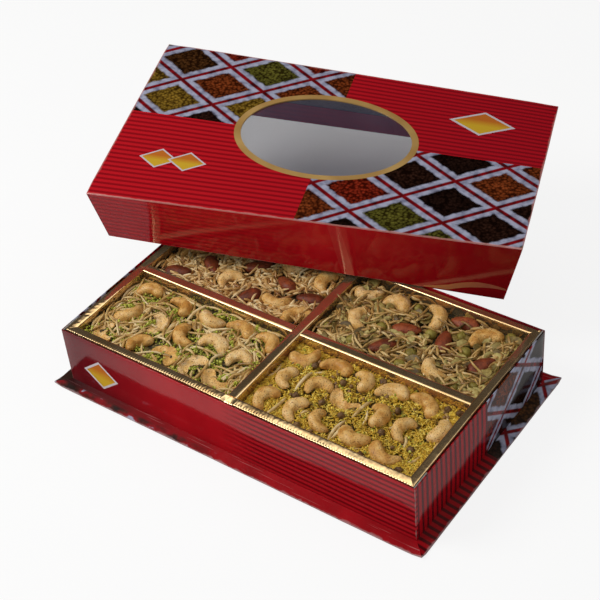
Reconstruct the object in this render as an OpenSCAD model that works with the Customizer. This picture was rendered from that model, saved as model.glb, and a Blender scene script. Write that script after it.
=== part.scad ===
// Gift box of snack mix: a red folded-board base with a flat brim, a gold board tray with
// four compartments of snack mix, and a red lid with an oval clear window.
// Millimetres, +Z up, origin on the ground under the middle of the base, +X along its length.
// The lid is off, turned and resting on the rim of the box, as it stands when it is shown.

/* [Base] */
// Length of the base over its walls
base_l = 290; // [240:1:340]
// Width of the base over its walls
base_w = 168; // [140:1:200]
// Height of a base wall above the bottom board
wall_h = 48; // [38:1:60]
// Thickness of the folded red board of a base wall
wall_t = 0.8; // [0.6:0.1:1.2]
// Thickness of the bottom board
bottom_t = 1.6; // [1.2:0.1:2.4]
// Width of the brim round the foot of the walls
brim_w = 9.7; // [6:0.1:14]
// Thickness of the brim
brim_t = 1; // [0.6:0.1:1.4]
// Length of a glued tab in each corner of the base
base_tab_l = 15; // [10:1:20]

/* [Tray] */
// Gap between a base wall and the tray inside it
tray_gap = 1.2; // [1.1:0.1:2]
// Width of the gold ledge round the tray
ledge_w = 6; // [4:0.5:9]
// Thickness of the gold board
foil_t = 0.6; // [0.4:0.1:0.9]
// Width of a divider between two compartments
divider_w = 7.5; // [5:0.5:10]

/* [Snack mix] */
// Depth of the empty space above the snack mix
fill_drop = 7.5; // [6.5:0.5:14]
// Radius of a cashew's curve along its middle
cashew_r = 7.4; // [6:0.1:7.6]
// Thickness of a cashew
cashew_d = 7.6; // [5.5:0.1:7.8]
// Angle that a cashew's curve goes through, in degrees
cashew_turn = 160; // [120:1:170]
// Length of an almond
almond_l = 21; // [16:0.5:22]
// Thickness of an almond
almond_d = 10; // [7:0.5:10.5]
// Length of a fried potato stick
stick_l = 20; // [14:1:22]
// Thickness of a fried potato stick
stick_d = 2.4; // [1.5:0.1:2.6]
// Diameter of a fried pea
pea_d = 8; // [6:0.5:8.5]
// Diameter of a peppercorn
peppercorn_d = 5; // [3.5:0.5:5.5]

/* [Lid] */
// Length of the lid at its top
lid_top_l = 314; // [300:1:330]
// Width of the lid at its top
lid_top_w = 184; // [174:1:196]
// Gap on each side between the lid's rim and the base's walls when it is closed
lid_fit = 0.2; // [0.1:0.1:1]
// Height of the lid
lid_h = 48.5; // [44:0.5:58]
// Thickness of a lid wall, measured level
lid_wall_t = 1; // [0.8:0.1:1.4]
// Thickness of the lid's top panel
lid_panel_t = 1.2; // [0.8:0.1:1.6]
// Height of the hem turned in along the lid's rim
hem_h = 15; // [10:1:20]
// Thickness of the hem, measured level
hem_t = 0.8; // [0.6:0.1:1.2]
// Length of a glued tab in each corner of the lid
lid_tab_l = 18; // [12:1:24]

/* [Window] */
// Length of the oval window
window_l = 129; // [110:1:140]
// Width of the oval window
window_w = 94; // [86:1:104]
// How far the window lies to the left of the middle of the lid
window_left = 4.5; // [1:0.5:8]
// How far the window lies behind the middle of the lid
window_back = 6.5; // [1:0.5:8]
// Width of film glued to the panel all round the window
film_lap = 14; // [8:1:18]
// Thickness of the clear film
film_t = 0.3; // [0.2:0.1:0.5]

/* [Lid as it rests] */
// Sideways place of the middle of the lid's rim
lid_x = -63; // [-80:1:-40]
// How far the middle of the lid's rim lies behind the back wall of the base
lid_back = 49; // [46:1:61]
// Gap left between the back wall of the base and the edge of the lid that rests over it
lid_gap = 0.5; // [0.3:0.1:1]
// Turn of the lid about the upright, in degrees
lid_turn = 19.9; // [15:0.1:22]
// Tilt of the lid to one side, in degrees
lid_roll = 2.1; // [1.8:0.1:2.6]
// Tilt of the lid's length down to the right, in degrees
lid_pitch = 3.4; // [2.8:0.1:3.6]

/* [Hidden] */

// Overrun of a cutting solid past what it cuts
over = 1;
// Facets of a round piece of food and straight steps round the oval window
nut_fn = 24;
window_steps = 72;

// Heights of the base and the tray
top_z = bottom_t + wall_h;
floor_top_z = bottom_t + foil_t;
fill_z = top_z - fill_drop;

// Half sizes of the base, the tray and the compartments
base_hl = base_l / 2;
base_hw = base_w / 2;
brim_hl = base_hl + brim_w;
brim_hw = base_hw + brim_w;
tray_hl = base_hl - wall_t - tray_gap;
tray_hw = base_hw - wall_t - tray_gap;
well_hl = tray_hl - ledge_w;
well_hw = tray_hw - ledge_w;
cell_l = well_hl - divider_w / 2;
cell_w = well_hw - divider_w / 2;

// Half sizes of the lid at its rim and its top
rim_hl = base_hl + lid_fit + hem_t + lid_wall_t;
rim_hw = base_hw + lid_fit + hem_t + lid_wall_t;
lid_hl = lid_top_l / 2;
lid_hw = lid_top_w / 2;
lid_wall_top = lid_h - lid_panel_t;

// Half sizes of a solid that takes in the whole lid, at its rim and at its top
reach_hl = max(rim_hl, lid_hl) + over;
reach_hw = max(rim_hw, lid_hw) + over;

// Middle of the rim of the lid as it rests, with its front edge over the back wall.
// The shares say how far towards the back a step along or across the lid goes, and cross_l
// is how far along the lid from its middle the front edge crosses the wall.
lid_y = base_hw + lid_back;
along_share = sin(lid_turn) * cos(lid_pitch);
across_share = sin(lid_turn) * sin(lid_pitch) * sin(lid_roll) + cos(lid_turn) * cos(lid_roll);
cross_l = (rim_hw * across_share - lid_back) / along_share;
lid_z = top_z + lid_gap + cross_l * sin(lid_pitch) + rim_hw * cos(lid_pitch) * sin(lid_roll);

// Height of the middle of each kind of piece above the top of the loose mix
cashew_lift = 0.15 * cashew_d;
almond_lift = -0.05 * almond_d;
stick_lift = 0.25 * stick_d;
pea_lift = 0.05 * pea_d;
peppercorn_lift = 0.2 * peppercorn_d;

// Thickness along a cashew from end to end, as shares of its full thickness
cashew_swell_shares = [0.66, 0.94, 1, 0.92, 0.9, 0.98, 0.7];
cashew_sides = 6;

// Point of a cashew's skin, on one of the rings along its curve
function cashew_point(ring, side) =
    let (turn = cashew_turn * (ring / (len(cashew_swell_shares) - 1) - 1 / 2))
    let (ring_r = cashew_swell_shares[ring] * cashew_d / 2)
    let (around = 360 * side / cashew_sides)
    let (reach = cashew_r + ring_r * cos(around))
    [reach * cos(turn), reach * sin(turn), ring_r * sin(around)];

// Tip past an end of a cashew's curve, along the way that the curve runs there
function cashew_tip(way) =
    let (turn = way * cashew_turn / 2)
    let (past = way * cashew_d / 4)
    [cashew_r * cos(turn) - past * sin(turn), cashew_r * sin(turn) + past * cos(turn), 0];

// Thickness along an almond from end to end, as shares of its full thickness
almond_swell_shares = [0.45, 0.8, 1, 0.95, 0.62];
almond_flat_share = 0.7;
almond_sides = 8;

// Point of an almond's skin, on one of the rings along it
function almond_point(ring, side) =
    let (along = almond_l * ((ring + 1) / (len(almond_swell_shares) + 1) - 1 / 2))
    let (ring_r = almond_swell_shares[ring] * almond_d / 2)
    let (around = 360 * side / almond_sides)
    [along, ring_r * cos(around), almond_flat_share * ring_r * sin(around)];

// Triangles of a closed skin: rings of points, then the two tips
function skin_faces(rings, sides) = concat(
    tube_faces(rings, sides),
    tip_faces(0, rings * sides, sides, false),
    tip_faces((rings - 1) * sides, rings * sides + 1, sides, true)
);

// Triangles between the rings of a tube
function tube_faces(rings, sides) = [
    for (ring = [0 : rings - 2], side = [0 : sides - 1], half = [0, 1])
        let (next = (side + 1) % sides)
        let (low = ring * sides)
        let (high = low + sides)
        half == 0
            ? [low + side, low + next, high + next]
            : [low + side, high + next, high + side]
];

// Triangles from an end ring to its tip
function tip_faces(first, tip, sides, at_end) = [
    for (side = [0 : sides - 1])
        let (here = first + side)
        let (next = first + (side + 1) % sides)
        at_end ? [here, next, tip] : [next, here, tip]
];

// Places in a compartment, as shares of its length and its width from its front left corner.
// The third number is the heading, in degrees: the way that a cashew bulges or a long piece lies.
green_cashew_shares = [
    [0.11, 0.15, 210], [0.33, 0.19, 160], [0.50, 0.20, 70], [0.67, 0.22, 160],
    [0.85, 0.16, 260], [0.13, 0.48, 330], [0.31, 0.51, 20], [0.50, 0.50, 220],
    [0.68, 0.54, 90], [0.86, 0.50, 120], [0.11, 0.83, 120], [0.34, 0.83, 60],
    [0.55, 0.83, 260], [0.73, 0.85, 80], [0.91, 0.83, 60]
];
yellow_cashew_shares = [
    [0.09, 0.20, 170], [0.26, 0.22, 175], [0.10, 0.52, 190], [0.09, 0.84, 300],
    [0.27, 0.58, 130], [0.27, 0.87, 100], [0.44, 0.85, 40], [0.61, 0.85, 100],
    [0.44, 0.54, 260], [0.63, 0.55, 30], [0.41, 0.21, 220], [0.61, 0.22, 260],
    [0.79, 0.50, 180], [0.80, 0.17, 260], [0.79, 0.86, 70], [0.94, 0.66, 10]
];
stick_cashew_shares = [
    [0.43, 0.30, 150], [0.76, 0.27, 290], [0.92, 0.17, 150], [0.91, 0.73, 190],
    [0.10, 0.50, 130], [0.32, 0.84, 80], [0.66, 0.82, 250]
];
flake_cashew_shares = [
    [0.10, 0.83, 300], [0.27, 0.80, 90], [0.17, 0.45, 200], [0.71, 0.19, 250],
    [0.50, 0.84, 30], [0.81, 0.80, 140]
];
stick_almond_shares = [
    [0.13, 0.14, 20], [0.27, 0.40, 320], [0.60, 0.18, 60], [0.72, 0.54, 330],
    [0.12, 0.82, 70], [0.50, 0.62, 40], [0.91, 0.46, 20]
];
flake_almond_shares = [
    [0.38, 0.24, 55], [0.64, 0.57, 290], [0.66, 0.90, 5], [0.89, 0.46, 60],
    [0.42, 0.55, 20]
];
flake_pea_shares = [
    [0.54, 0.28], [0.77, 0.55], [0.70, 0.73], [0.92, 0.93], [0.93, 0.18], [0.85, 0.10],
    [0.39, 0.86], [0.55, 0.61], [0.06, 0.20], [0.22, 0.16], [0.30, 0.46], [0.53, 0.10]
];
yellow_peppercorn_shares = [
    [0.48, 0.37], [0.70, 0.68], [0.35, 0.42], [0.90, 0.92], [0.97, 0.93], [0.89, 0.33],
    [0.70, 0.05], [0.71, 0.37], [0.17, 0.79], [0.91, 0.08], [0.21, 0.37], [0.36, 0.73],
    [0.53, 0.93], [0.33, 0.06]
];
green_stick_shares = [
    [0.22, 0.17, 84], [0.97, 0.34, 92], [0.22, 0.83, 87], [0.60, 0.20, 90],
    [0.75, 0.19, 88], [0.22, 0.50, 92], [0.40, 0.50, 86], [0.44, 0.83, 86]
];
yellow_stick_shares = [[0.17, 0.17, 85], [0.18, 0.57, 90], [0.51, 0.20, 90], [0.54, 0.54, 90]];
stick_stick_shares = [
    [0.29, 0.13, 12], [0.45, 0.06, 0], [0.28, 0.25, 340], [0.29, 0.60, 15],
    [0.39, 0.56, 75], [0.48, 0.80, 70], [0.60, 0.43, 15], [0.80, 0.74, 85],
    [0.20, 0.80, 85], [0.70, 0.06, 4]
];
flake_stick_shares = [
    [0.31, 0.62, 5], [0.52, 0.42, 20], [0.75, 0.40, 8], [0.26, 0.29, 5],
    [0.11, 0.65, 3], [0.11, 0.07, 5]
];

module front_outline(half_l, half_w, depth) {
    polygon([
        [-half_l, -half_w], [half_l, -half_w],
        [half_l - depth, depth - half_w], [depth - half_l, depth - half_w]
    ]);
}

module left_outline(half_l, half_w, depth) {
    polygon([
        [-half_l, -half_w], [depth - half_l, depth - half_w],
        [depth - half_l, half_w - depth], [-half_l, half_w]
    ]);
}

// Base

module bottom_board() {
    color("dimgray")
        translate([-base_hl, -base_hw, 0])
            cube([base_l, base_w, bottom_t]);
}

module long_wall() {
    color("firebrick")
        translate([-base_hl, -base_hw, bottom_t])
            cube([base_l, wall_t, wall_h]);
}

module short_wall() {
    color("firebrick")
        translate([-base_hl, wall_t - base_hw, bottom_t])
            cube([wall_t, base_w - 2 * wall_t, wall_h]);
}

module front_wall() {
    long_wall();
}

module back_wall() {
    mirror([0, 1, 0])
        long_wall();
}

module left_wall() {
    short_wall();
}

module right_wall() {
    mirror([1, 0, 0])
        short_wall();
}

module base_corner_tab() {
    translate([wall_t - base_hl, wall_t - base_hw, bottom_t])
        cube([wall_t, base_tab_l, wall_h]);
}

module base_corner_tabs() {
    color("darkred")
        for (mirror_x = [0, 1], mirror_y = [0, 1])
            mirror([mirror_x, 0, 0])
                mirror([0, mirror_y, 0])
                    base_corner_tab();
}

// Section of the brim, running out from the wall and down to the ground
module brim_section() {
    polygon([
        [0, bottom_t], [brim_w, 0], [brim_w, brim_t], [0, bottom_t + brim_t]
    ]);
}

module long_brim() {
    color("darkred")
        intersection() {
            translate([-brim_hl, -base_hw, 0])
                rotate([90, 0, 90])
                    linear_extrude(2 * brim_hl)
                        mirror([1, 0])
                            brim_section();
            linear_extrude(bottom_t + brim_t + over)
                front_outline(brim_hl, brim_hw, brim_w);
        }
}

module short_brim() {
    color("darkred")
        intersection() {
            translate([-base_hl, brim_hw, 0])
                rotate([90, 0, 0])
                    linear_extrude(2 * brim_hw)
                        mirror([1, 0])
                            brim_section();
            linear_extrude(bottom_t + brim_t + over)
                left_outline(brim_hl, brim_hw, brim_w);
        }
}

module front_brim() {
    long_brim();
}

module back_brim() {
    mirror([0, 1, 0])
        long_brim();
}

module left_brim() {
    short_brim();
}

module right_brim() {
    mirror([1, 0, 0])
        short_brim();
}

// Tray: the ledge is folded board, open underneath, and its pieces meet in mitres

module tray_floor() {
    color("darkgoldenrod")
        translate([foil_t - tray_hl, foil_t - tray_hw, bottom_t])
            cube([2 * (tray_hl - foil_t), 2 * (tray_hw - foil_t), foil_t]);
}

module long_ledge() {
    color("gold")
        difference() {
            translate([0, 0, bottom_t])
                linear_extrude(wall_h)
                    front_outline(tray_hl, tray_hw, ledge_w);
            translate([-tray_hl, foil_t - tray_hw, bottom_t - over])
                cube([2 * tray_hl, ledge_w - 2 * foil_t, wall_h - foil_t + over]);
            translate([-tray_hl, foil_t - tray_hw, bottom_t - over])
                cube([2 * tray_hl, ledge_w, foil_t + over]);
        }
}

module short_ledge() {
    color("gold")
        difference() {
            translate([0, 0, bottom_t])
                linear_extrude(wall_h)
                    left_outline(tray_hl, tray_hw, ledge_w);
            translate([foil_t - tray_hl, -tray_hw, bottom_t - over])
                cube([ledge_w - 2 * foil_t, 2 * tray_hw, wall_h - foil_t + over]);
            translate([foil_t - tray_hl, -tray_hw, bottom_t - over])
                cube([ledge_w, 2 * tray_hw, foil_t + over]);
        }
}

module front_ledge() {
    long_ledge();
}

module back_ledge() {
    mirror([0, 1, 0])
        long_ledge();
}

module left_ledge() {
    short_ledge();
}

module right_ledge() {
    mirror([1, 0, 0])
        short_ledge();
}

// Folded channel that stands on the tray floor, along Y from its own origin
module divider(length) {
    color("gold")
        translate([-divider_w / 2, 0, floor_top_z])
            difference() {
                cube([divider_w, length, top_z - floor_top_z]);
                translate([foil_t, -over, -over])
                    cube([
                        divider_w - 2 * foil_t,
                        length + 2 * over,
                        top_z - floor_top_z - foil_t + over
                    ]);
            }
}

module cross_divider() {
    translate([0, -well_hw, 0])
        divider(2 * well_hw);
}

module long_divider_left() {
    translate([-divider_w / 2, 0, 0])
        rotate([0, 0, 90])
            divider(cell_l);
}

module long_divider_right() {
    translate([well_hl, 0, 0])
        rotate([0, 0, 90])
            divider(cell_l);
}

// Snack mix: a loose bed in each compartment, with the larger pieces half sunk in it

// Moves to the front left corner of a compartment: column 0 is left, row 0 is in front
module in_cell(column, row) {
    translate([
        column == 0 ? -well_hl : divider_w / 2,
        row == 0 ? -well_hw : divider_w / 2,
        0
    ])
        children();
}

module bed() {
    translate([0, 0, floor_top_z])
        cube([cell_l, cell_w, fill_z - floor_top_z]);
}

// Sets a piece at each place of a table, its middle a given height above the bed
module scatter(places, lift) {
    for (place = places)
        translate([place[0] * cell_l, place[1] * cell_w, fill_z + lift])
            rotate([0, 0, len(place) > 2 ? place[2] : 0])
                children();
}

// Curved nut whose bulge points along +X, with its middle near the origin
module cashew() {
    middle = cashew_r * (1 + cos(cashew_turn / 2)) / 2;
    rings = len(cashew_swell_shares);
    points = [
        for (ring = [0 : rings - 1], side = [0 : cashew_sides - 1])
            cashew_point(ring, side)
    ];
    tips = [cashew_tip(-1), cashew_tip(1)];
    color("burlywood")
        translate([-middle, 0, 0])
            polyhedron(
                points = concat(points, tips),
                faces = skin_faces(rings, cashew_sides)
            );
}

// Pointed nut along X, a little flattened
module almond() {
    rings = len(almond_swell_shares);
    points = [
        for (ring = [0 : rings - 1], side = [0 : almond_sides - 1])
            almond_point(ring, side)
    ];
    tips = [[-almond_l / 2, 0, 0], [almond_l / 2, 0, 0]];
    color("sienna")
        polyhedron(
            points = concat(points, tips),
            faces = skin_faces(rings, almond_sides)
        );
}

module stick() {
    color("wheat")
        rotate([0, 90, 0])
            cylinder(d = stick_d, h = stick_l, center = true, $fn = 16);
}

module green_mix() {
    color("olivedrab")
        in_cell(0, 0)
            bed();
}

module yellow_mix() {
    color("goldenrod")
        in_cell(1, 0)
            bed();
}

module stick_mix() {
    color("tan")
        in_cell(0, 1)
            bed();
}

module flake_mix() {
    color("darkkhaki")
        in_cell(1, 1)
            bed();
}

module green_mix_cashews() {
    in_cell(0, 0)
        scatter(green_cashew_shares, cashew_lift)
            cashew();
}

module yellow_mix_cashews() {
    in_cell(1, 0)
        scatter(yellow_cashew_shares, cashew_lift)
            cashew();
}

module stick_mix_cashews() {
    in_cell(0, 1)
        scatter(stick_cashew_shares, cashew_lift)
            cashew();
}

module flake_mix_cashews() {
    in_cell(1, 1)
        scatter(flake_cashew_shares, cashew_lift)
            cashew();
}

module stick_mix_almonds() {
    in_cell(0, 1)
        scatter(stick_almond_shares, almond_lift)
            almond();
}

module flake_mix_almonds() {
    in_cell(1, 1)
        scatter(flake_almond_shares, almond_lift)
            almond();
}

module flake_mix_peas() {
    color("yellowgreen")
        in_cell(1, 1)
            scatter(flake_pea_shares, pea_lift)
                sphere(d = pea_d, $fn = nut_fn);
}

module yellow_mix_peppercorns() {
    color("saddlebrown")
        in_cell(1, 0)
            scatter(yellow_peppercorn_shares, peppercorn_lift)
                sphere(d = peppercorn_d, $fn = nut_fn);
}

module green_mix_sticks() {
    in_cell(0, 0)
        scatter(green_stick_shares, stick_lift)
            stick();
}

module yellow_mix_sticks() {
    in_cell(1, 0)
        scatter(yellow_stick_shares, stick_lift)
            stick();
}

module stick_mix_sticks() {
    in_cell(0, 1)
        scatter(stick_stick_shares, stick_lift)
            stick();
}

module flake_mix_sticks() {
    in_cell(1, 1)
        scatter(flake_stick_shares, stick_lift)
            stick();
}

// Lid: its walls lean between the rim and the top, so each is cut from two crossing prisms.
// The lid is modelled upright about the middle of its rim and then set down on the box.

module place_lid() {
    translate([lid_x, lid_y, lid_z])
        rotate([lid_roll, lid_pitch, lid_turn])
            children();
}

// Section of the lid across one direction, drawn in level by an inset
module lid_section(rim_half, top_half, inset) {
    polygon([
        [inset - rim_half, 0], [rim_half - inset, 0],
        [top_half - inset, lid_h], [inset - top_half, lid_h]
    ]);
}

// Solid bounded by the two leaning short walls
module between_short_walls(inset) {
    translate([0, reach_hw, 0])
        rotate([90, 0, 0])
            linear_extrude(2 * reach_hw)
                lid_section(rim_hl, lid_hl, inset);
}

// Solid bounded by the two leaning long walls
module between_long_walls(inset) {
    translate([-reach_hl, 0, 0])
        rotate([90, 0, 90])
            linear_extrude(2 * reach_hl)
                lid_section(rim_hw, lid_hw, inset);
}

// Keeps what is in front of the middle, from one height to another
module front_half(from_z, to_z) {
    translate([-reach_hl, -reach_hw, from_z])
        cube([2 * reach_hl, reach_hw, to_z - from_z]);
}

// Keeps what is left of the middle, from one height to another
module left_half(from_z, to_z) {
    translate([-reach_hl, -reach_hw, from_z])
        cube([reach_hl, 2 * reach_hw, to_z - from_z]);
}

// Leaning board along the front, from one inset to another
module lid_long_board(inset, thickness, from_z, to_z) {
    difference() {
        intersection() {
            between_short_walls(inset);
            between_long_walls(inset);
            front_half(from_z, to_z);
        }
        between_long_walls(inset + thickness);
    }
}

// Leaning board along the left, from one inset to another, between the long boards
module lid_short_board(inset, thickness, from_z, to_z) {
    difference() {
        intersection() {
            between_short_walls(inset);
            between_long_walls(inset + thickness);
            left_half(from_z, to_z);
        }
        between_short_walls(inset + thickness);
    }
}

module window_outline() {
    polygon([
        for (step = [0 : window_steps - 1])
            let (around = 360 * step / window_steps)
            [window_l / 2 * cos(around), window_w / 2 * sin(around)]
    ]);
}

module lid_top_panel() {
    color("firebrick")
        place_lid()
            difference() {
                intersection() {
                    between_short_walls(0);
                    between_long_walls(0);
                    translate([-reach_hl, -reach_hw, lid_wall_top])
                        cube([2 * reach_hl, 2 * reach_hw, lid_panel_t]);
                }
                translate([-window_left, window_back, lid_wall_top - over])
                    linear_extrude(lid_panel_t + 2 * over)
                        window_outline();
            }
}

module lid_front_wall() {
    color("firebrick")
        place_lid()
            lid_long_board(0, lid_wall_t, 0, lid_wall_top);
}

module lid_back_wall() {
    color("firebrick")
        place_lid()
            mirror([0, 1, 0])
                lid_long_board(0, lid_wall_t, 0, lid_wall_top);
}

module lid_left_wall() {
    color("firebrick")
        place_lid()
            lid_short_board(0, lid_wall_t, 0, lid_wall_top);
}

module lid_right_wall() {
    color("firebrick")
        place_lid()
            mirror([1, 0, 0])
                lid_short_board(0, lid_wall_t, 0, lid_wall_top);
}

module lid_front_hem() {
    color("darkred")
        place_lid()
            lid_long_board(lid_wall_t, hem_t, 0, hem_h);
}

module lid_back_hem() {
    color("darkred")
        place_lid()
            mirror([0, 1, 0])
                lid_long_board(lid_wall_t, hem_t, 0, hem_h);
}

module lid_left_hem() {
    color("darkred")
        place_lid()
            lid_short_board(lid_wall_t, hem_t, 0, hem_h);
}

module lid_right_hem() {
    color("darkred")
        place_lid()
            mirror([1, 0, 0])
                lid_short_board(lid_wall_t, hem_t, 0, hem_h);
}

// Tab behind the end of a long wall, glued to the inside of the short wall above the hem
module lid_corner_tab() {
    difference() {
        intersection() {
            between_short_walls(lid_wall_t);
            between_long_walls(lid_wall_t);
            front_half(hem_h, lid_wall_top);
            left_half(hem_h, lid_wall_top);
        }
        between_short_walls(lid_wall_t + hem_t);
        between_long_walls(lid_wall_t + lid_tab_l);
    }
}

module lid_corner_tabs() {
    color("gray")
        place_lid()
            for (mirror_x = [0, 1], mirror_y = [0, 1])
                mirror([mirror_x, 0, 0])
                    mirror([0, mirror_y, 0])
                        lid_corner_tab();
}

module window_film() {
    film_l = window_l + 2 * film_lap;
    film_w = window_w + 2 * film_lap;
    color("lightsteelblue", 0.4)
        place_lid()
            translate([-window_left, window_back, lid_wall_top - film_t])
                translate([-film_l / 2, -film_w / 2, 0])
                    cube([film_l, film_w, film_t]);
}

bottom_board();
front_wall();
back_wall();
left_wall();
right_wall();
base_corner_tabs();
front_brim();
back_brim();
left_brim();
right_brim();
tray_floor();
front_ledge();
back_ledge();
left_ledge();
right_ledge();
cross_divider();
long_divider_left();
long_divider_right();
green_mix();
yellow_mix();
stick_mix();
flake_mix();
green_mix_cashews();
yellow_mix_cashews();
stick_mix_cashews();
flake_mix_cashews();
stick_mix_almonds();
flake_mix_almonds();
flake_mix_peas();
yellow_mix_peppercorns();
green_mix_sticks();
yellow_mix_sticks();
stick_mix_sticks();
flake_mix_sticks();
lid_top_panel();
lid_front_wall();
lid_back_wall();
lid_left_wall();
lid_right_wall();
lid_front_hem();
lid_back_hem();
lid_left_hem();
lid_right_hem();
lid_corner_tabs();
window_film();
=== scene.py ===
import functools
import math
import random

import bmesh
import bpy
from mathutils import Euler, Matrix, Vector, noise


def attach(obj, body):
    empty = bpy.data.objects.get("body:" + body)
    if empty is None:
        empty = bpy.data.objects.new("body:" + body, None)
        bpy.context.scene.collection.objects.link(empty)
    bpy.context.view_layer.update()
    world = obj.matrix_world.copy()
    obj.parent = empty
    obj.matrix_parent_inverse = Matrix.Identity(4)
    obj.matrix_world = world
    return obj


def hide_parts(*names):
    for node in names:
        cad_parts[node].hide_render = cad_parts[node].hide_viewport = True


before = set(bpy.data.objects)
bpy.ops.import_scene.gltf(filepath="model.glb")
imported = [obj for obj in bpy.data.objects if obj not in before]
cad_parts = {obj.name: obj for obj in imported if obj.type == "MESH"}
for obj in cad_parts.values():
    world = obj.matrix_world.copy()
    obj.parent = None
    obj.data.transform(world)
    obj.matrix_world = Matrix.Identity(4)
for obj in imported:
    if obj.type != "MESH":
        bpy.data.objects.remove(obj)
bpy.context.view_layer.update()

# Bottom board and corner tabs of the base.
# Unprinted recycled greyboard, cut and glued by the box maker. Only the underside of the
# board and the top edges of the tabs can be seen.

MM = 0.001


def srgb(code):
    """Linear colour, with alpha, of an sRGB hex value."""
    parts = [int(code[i:i + 2], 16) / 255 for i in (1, 3, 5)]
    return [p / 12.92 if p <= 0.04045 else ((p + 0.055) / 1.055) ** 2.4 for p in parts] + [1]


def add_node(tree, kind, *values, out=0, stops=(), stepped=False, **named):
    """Adds a shader node, sets or links its inputs, and gives one output. A kind all in
    capitals is the operation of a Math node. Inputs come in their order, or by a name with a
    capital, and other names are settings. A colour is an sRGB hex value.
    """
    if kind.isupper():
        kind, named["operation"] = "Math", kind
    made = tree.nodes.new("ShaderNode" + kind)
    inputs = dict(enumerate(values))
    for name, value in named.items():
        if name[0].isupper():
            inputs[name] = value
        else:
            setattr(made, name, value)
    if stops:
        elements = made.color_ramp.elements
        made.color_ramp.interpolation = "CONSTANT" if stepped else "LINEAR"
        while len(elements) < len(stops):
            elements.new(1)
        for element, (place, code) in zip(elements, stops):
            element.position = place
            element.color = srgb(code)
    for name, value in inputs.items():
        if isinstance(value, bpy.types.NodeSocket):
            tree.links.new(value, made.inputs[name])
        else:
            made.inputs[name].default_value = srgb(value) if isinstance(value, str) else value
    return made.outputs[out] if made.outputs else made


def new_material(name, **surface):
    """Material with a surface shader and its plain values, and what adds nodes to it."""
    made = bpy.data.materials.new(name)
    made.use_nodes = True
    made.node_tree.nodes.clear()
    add = functools.partial(add_node, made.node_tree)
    skin = add("BsdfPrincipled")
    add("OutputMaterial", skin)
    for name, value in surface.items():
        skin.node.inputs[name.replace("_", " ")].default_value = value
    return made, add, skin.node


def coat(shader, colour, relief):
    """Links a colour and a relief to a surface shader."""
    shader.id_data.links.new(colour, shader.inputs["Base Color"])
    shader.id_data.links.new(relief, shader.inputs["Normal"])


# Greyboard: pulped paper, so it is matt, warm grey and flecked with darker fibres
GREY_FLECK = 0.7 * MM
greyboard, add, shader = new_material("greyboard_pulped", Roughness=0.9)
place = add("TexCoord", out=3)
fleck = add("TexNoise", Vector=place, Scale=1 / GREY_FLECK, Detail=3.0)
coat(shader, add("ValToRGB", fleck, stops=[(0.3, "#5F5C58"), (0.5, "#85827D"), (0.7, "#A3A09A")]),
     add("Bump", Height=fleck, Strength=0.4, Distance=0.1 * MM))
for name in ("bottom_board", "base_corner_tabs"):
    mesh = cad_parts[name].data
    mesh.materials.clear()
    mesh.materials.append(greyboard)

# Walls of the base.
# Folded board laminated with a glossy red print. They bulge a little between the corners,
# and the print is worn pale along the folds.

BASE_HALF_L = 145 * MM
BASE_HALF_W = 84 * MM
WALL_FOOT = 1.6 * MM
WALL_TOP = 49.6 * MM
WALL_T = 0.8 * MM
FOLD_ROUND = 0.25 * MM
BASE_PITCH = 4.4 * MM
UPRIGHT_PITCH = 5.6 * MM


def finish_piece(shape, name, materials, body, slot, replaced):
    """Makes a bmesh a piece that rides on a body and stands for its CAD pieces."""
    mesh = bpy.data.meshes.new(name)
    shape.to_mesh(mesh)
    shape.free()
    for material in materials:
        mesh.materials.append(material)
    mesh.polygons.foreach_set("use_smooth", [True] * len(mesh.polygons))
    piece = bpy.data.objects.new(name, mesh)
    bpy.context.scene.collection.objects.link(piece)
    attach(piece, body)
    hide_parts(*replaced)
    return piece


def shaped_block(cuts, shape, folded, fold_round):
    """Block from -0.5 to 0.5 on each axis, cut across each axis a number of times, moved
    into shape point by point, with the edges that are folded rounded.
    """
    block = bmesh.new()
    bmesh.ops.create_cube(block, size=1)
    for axis, count in enumerate(cuts):
        if count:
            along = [e for e in block.edges
                     if abs(e.verts[0].co[axis] - e.verts[1].co[axis]) > 0.9]
            bmesh.ops.subdivide_edges(block, edges=along, cuts=count, use_grid_fill=True)
    folds = [e for e in block.edges if all(folded(v.co) for v in e.verts)]
    for vert in block.verts:
        vert.co = shape(*vert.co)
    bmesh.ops.bevel(block, geom=folds, offset=fold_round, affect="EDGES", segments=3,
                    profile=0.5, material=-1)
    return block


def sharpen(piece, angle=40):
    """Keeps faces apart in the light at cut edges and where they meet sharper than an angle."""
    piece.data.set_sharp_from_angle(angle=math.radians(angle))
    shape = bmesh.new()
    shape.from_mesh(piece.data)
    for edge in shape.edges:
        if edge.is_boundary:
            edge.smooth = False
    shape.to_mesh(piece.data)
    shape.free()
    return piece


def wall_bulge(along, up, seed):
    """Share of its depth by which a wall stands out, at a place from -0.5 to 0.5."""
    arch = (1 - (2 * along) ** 2) * (1 - 0.6 * (2 * up) ** 2)
    ripple = noise.noise(Vector((along * 6, up * 2, seed))) * 0.35
    return arch + ripple * (1 - abs(2 * along) ** 6)


def stripes(add, coordinate, pitch, share=0.45, soft=0.14):
    """1 on the darker stripes of a pinstripe print and 0 between them."""
    phase = add("MULTIPLY", coordinate, 1 / pitch)
    saw = add("FLOORED_MODULO", phase, 1.0)
    off = add("ABSOLUTE", add("SUBTRACT", saw, 0.5))
    return add("MapRange", off, (share - soft) / 2, (share + soft) / 2, 1.0, 0.0)


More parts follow.
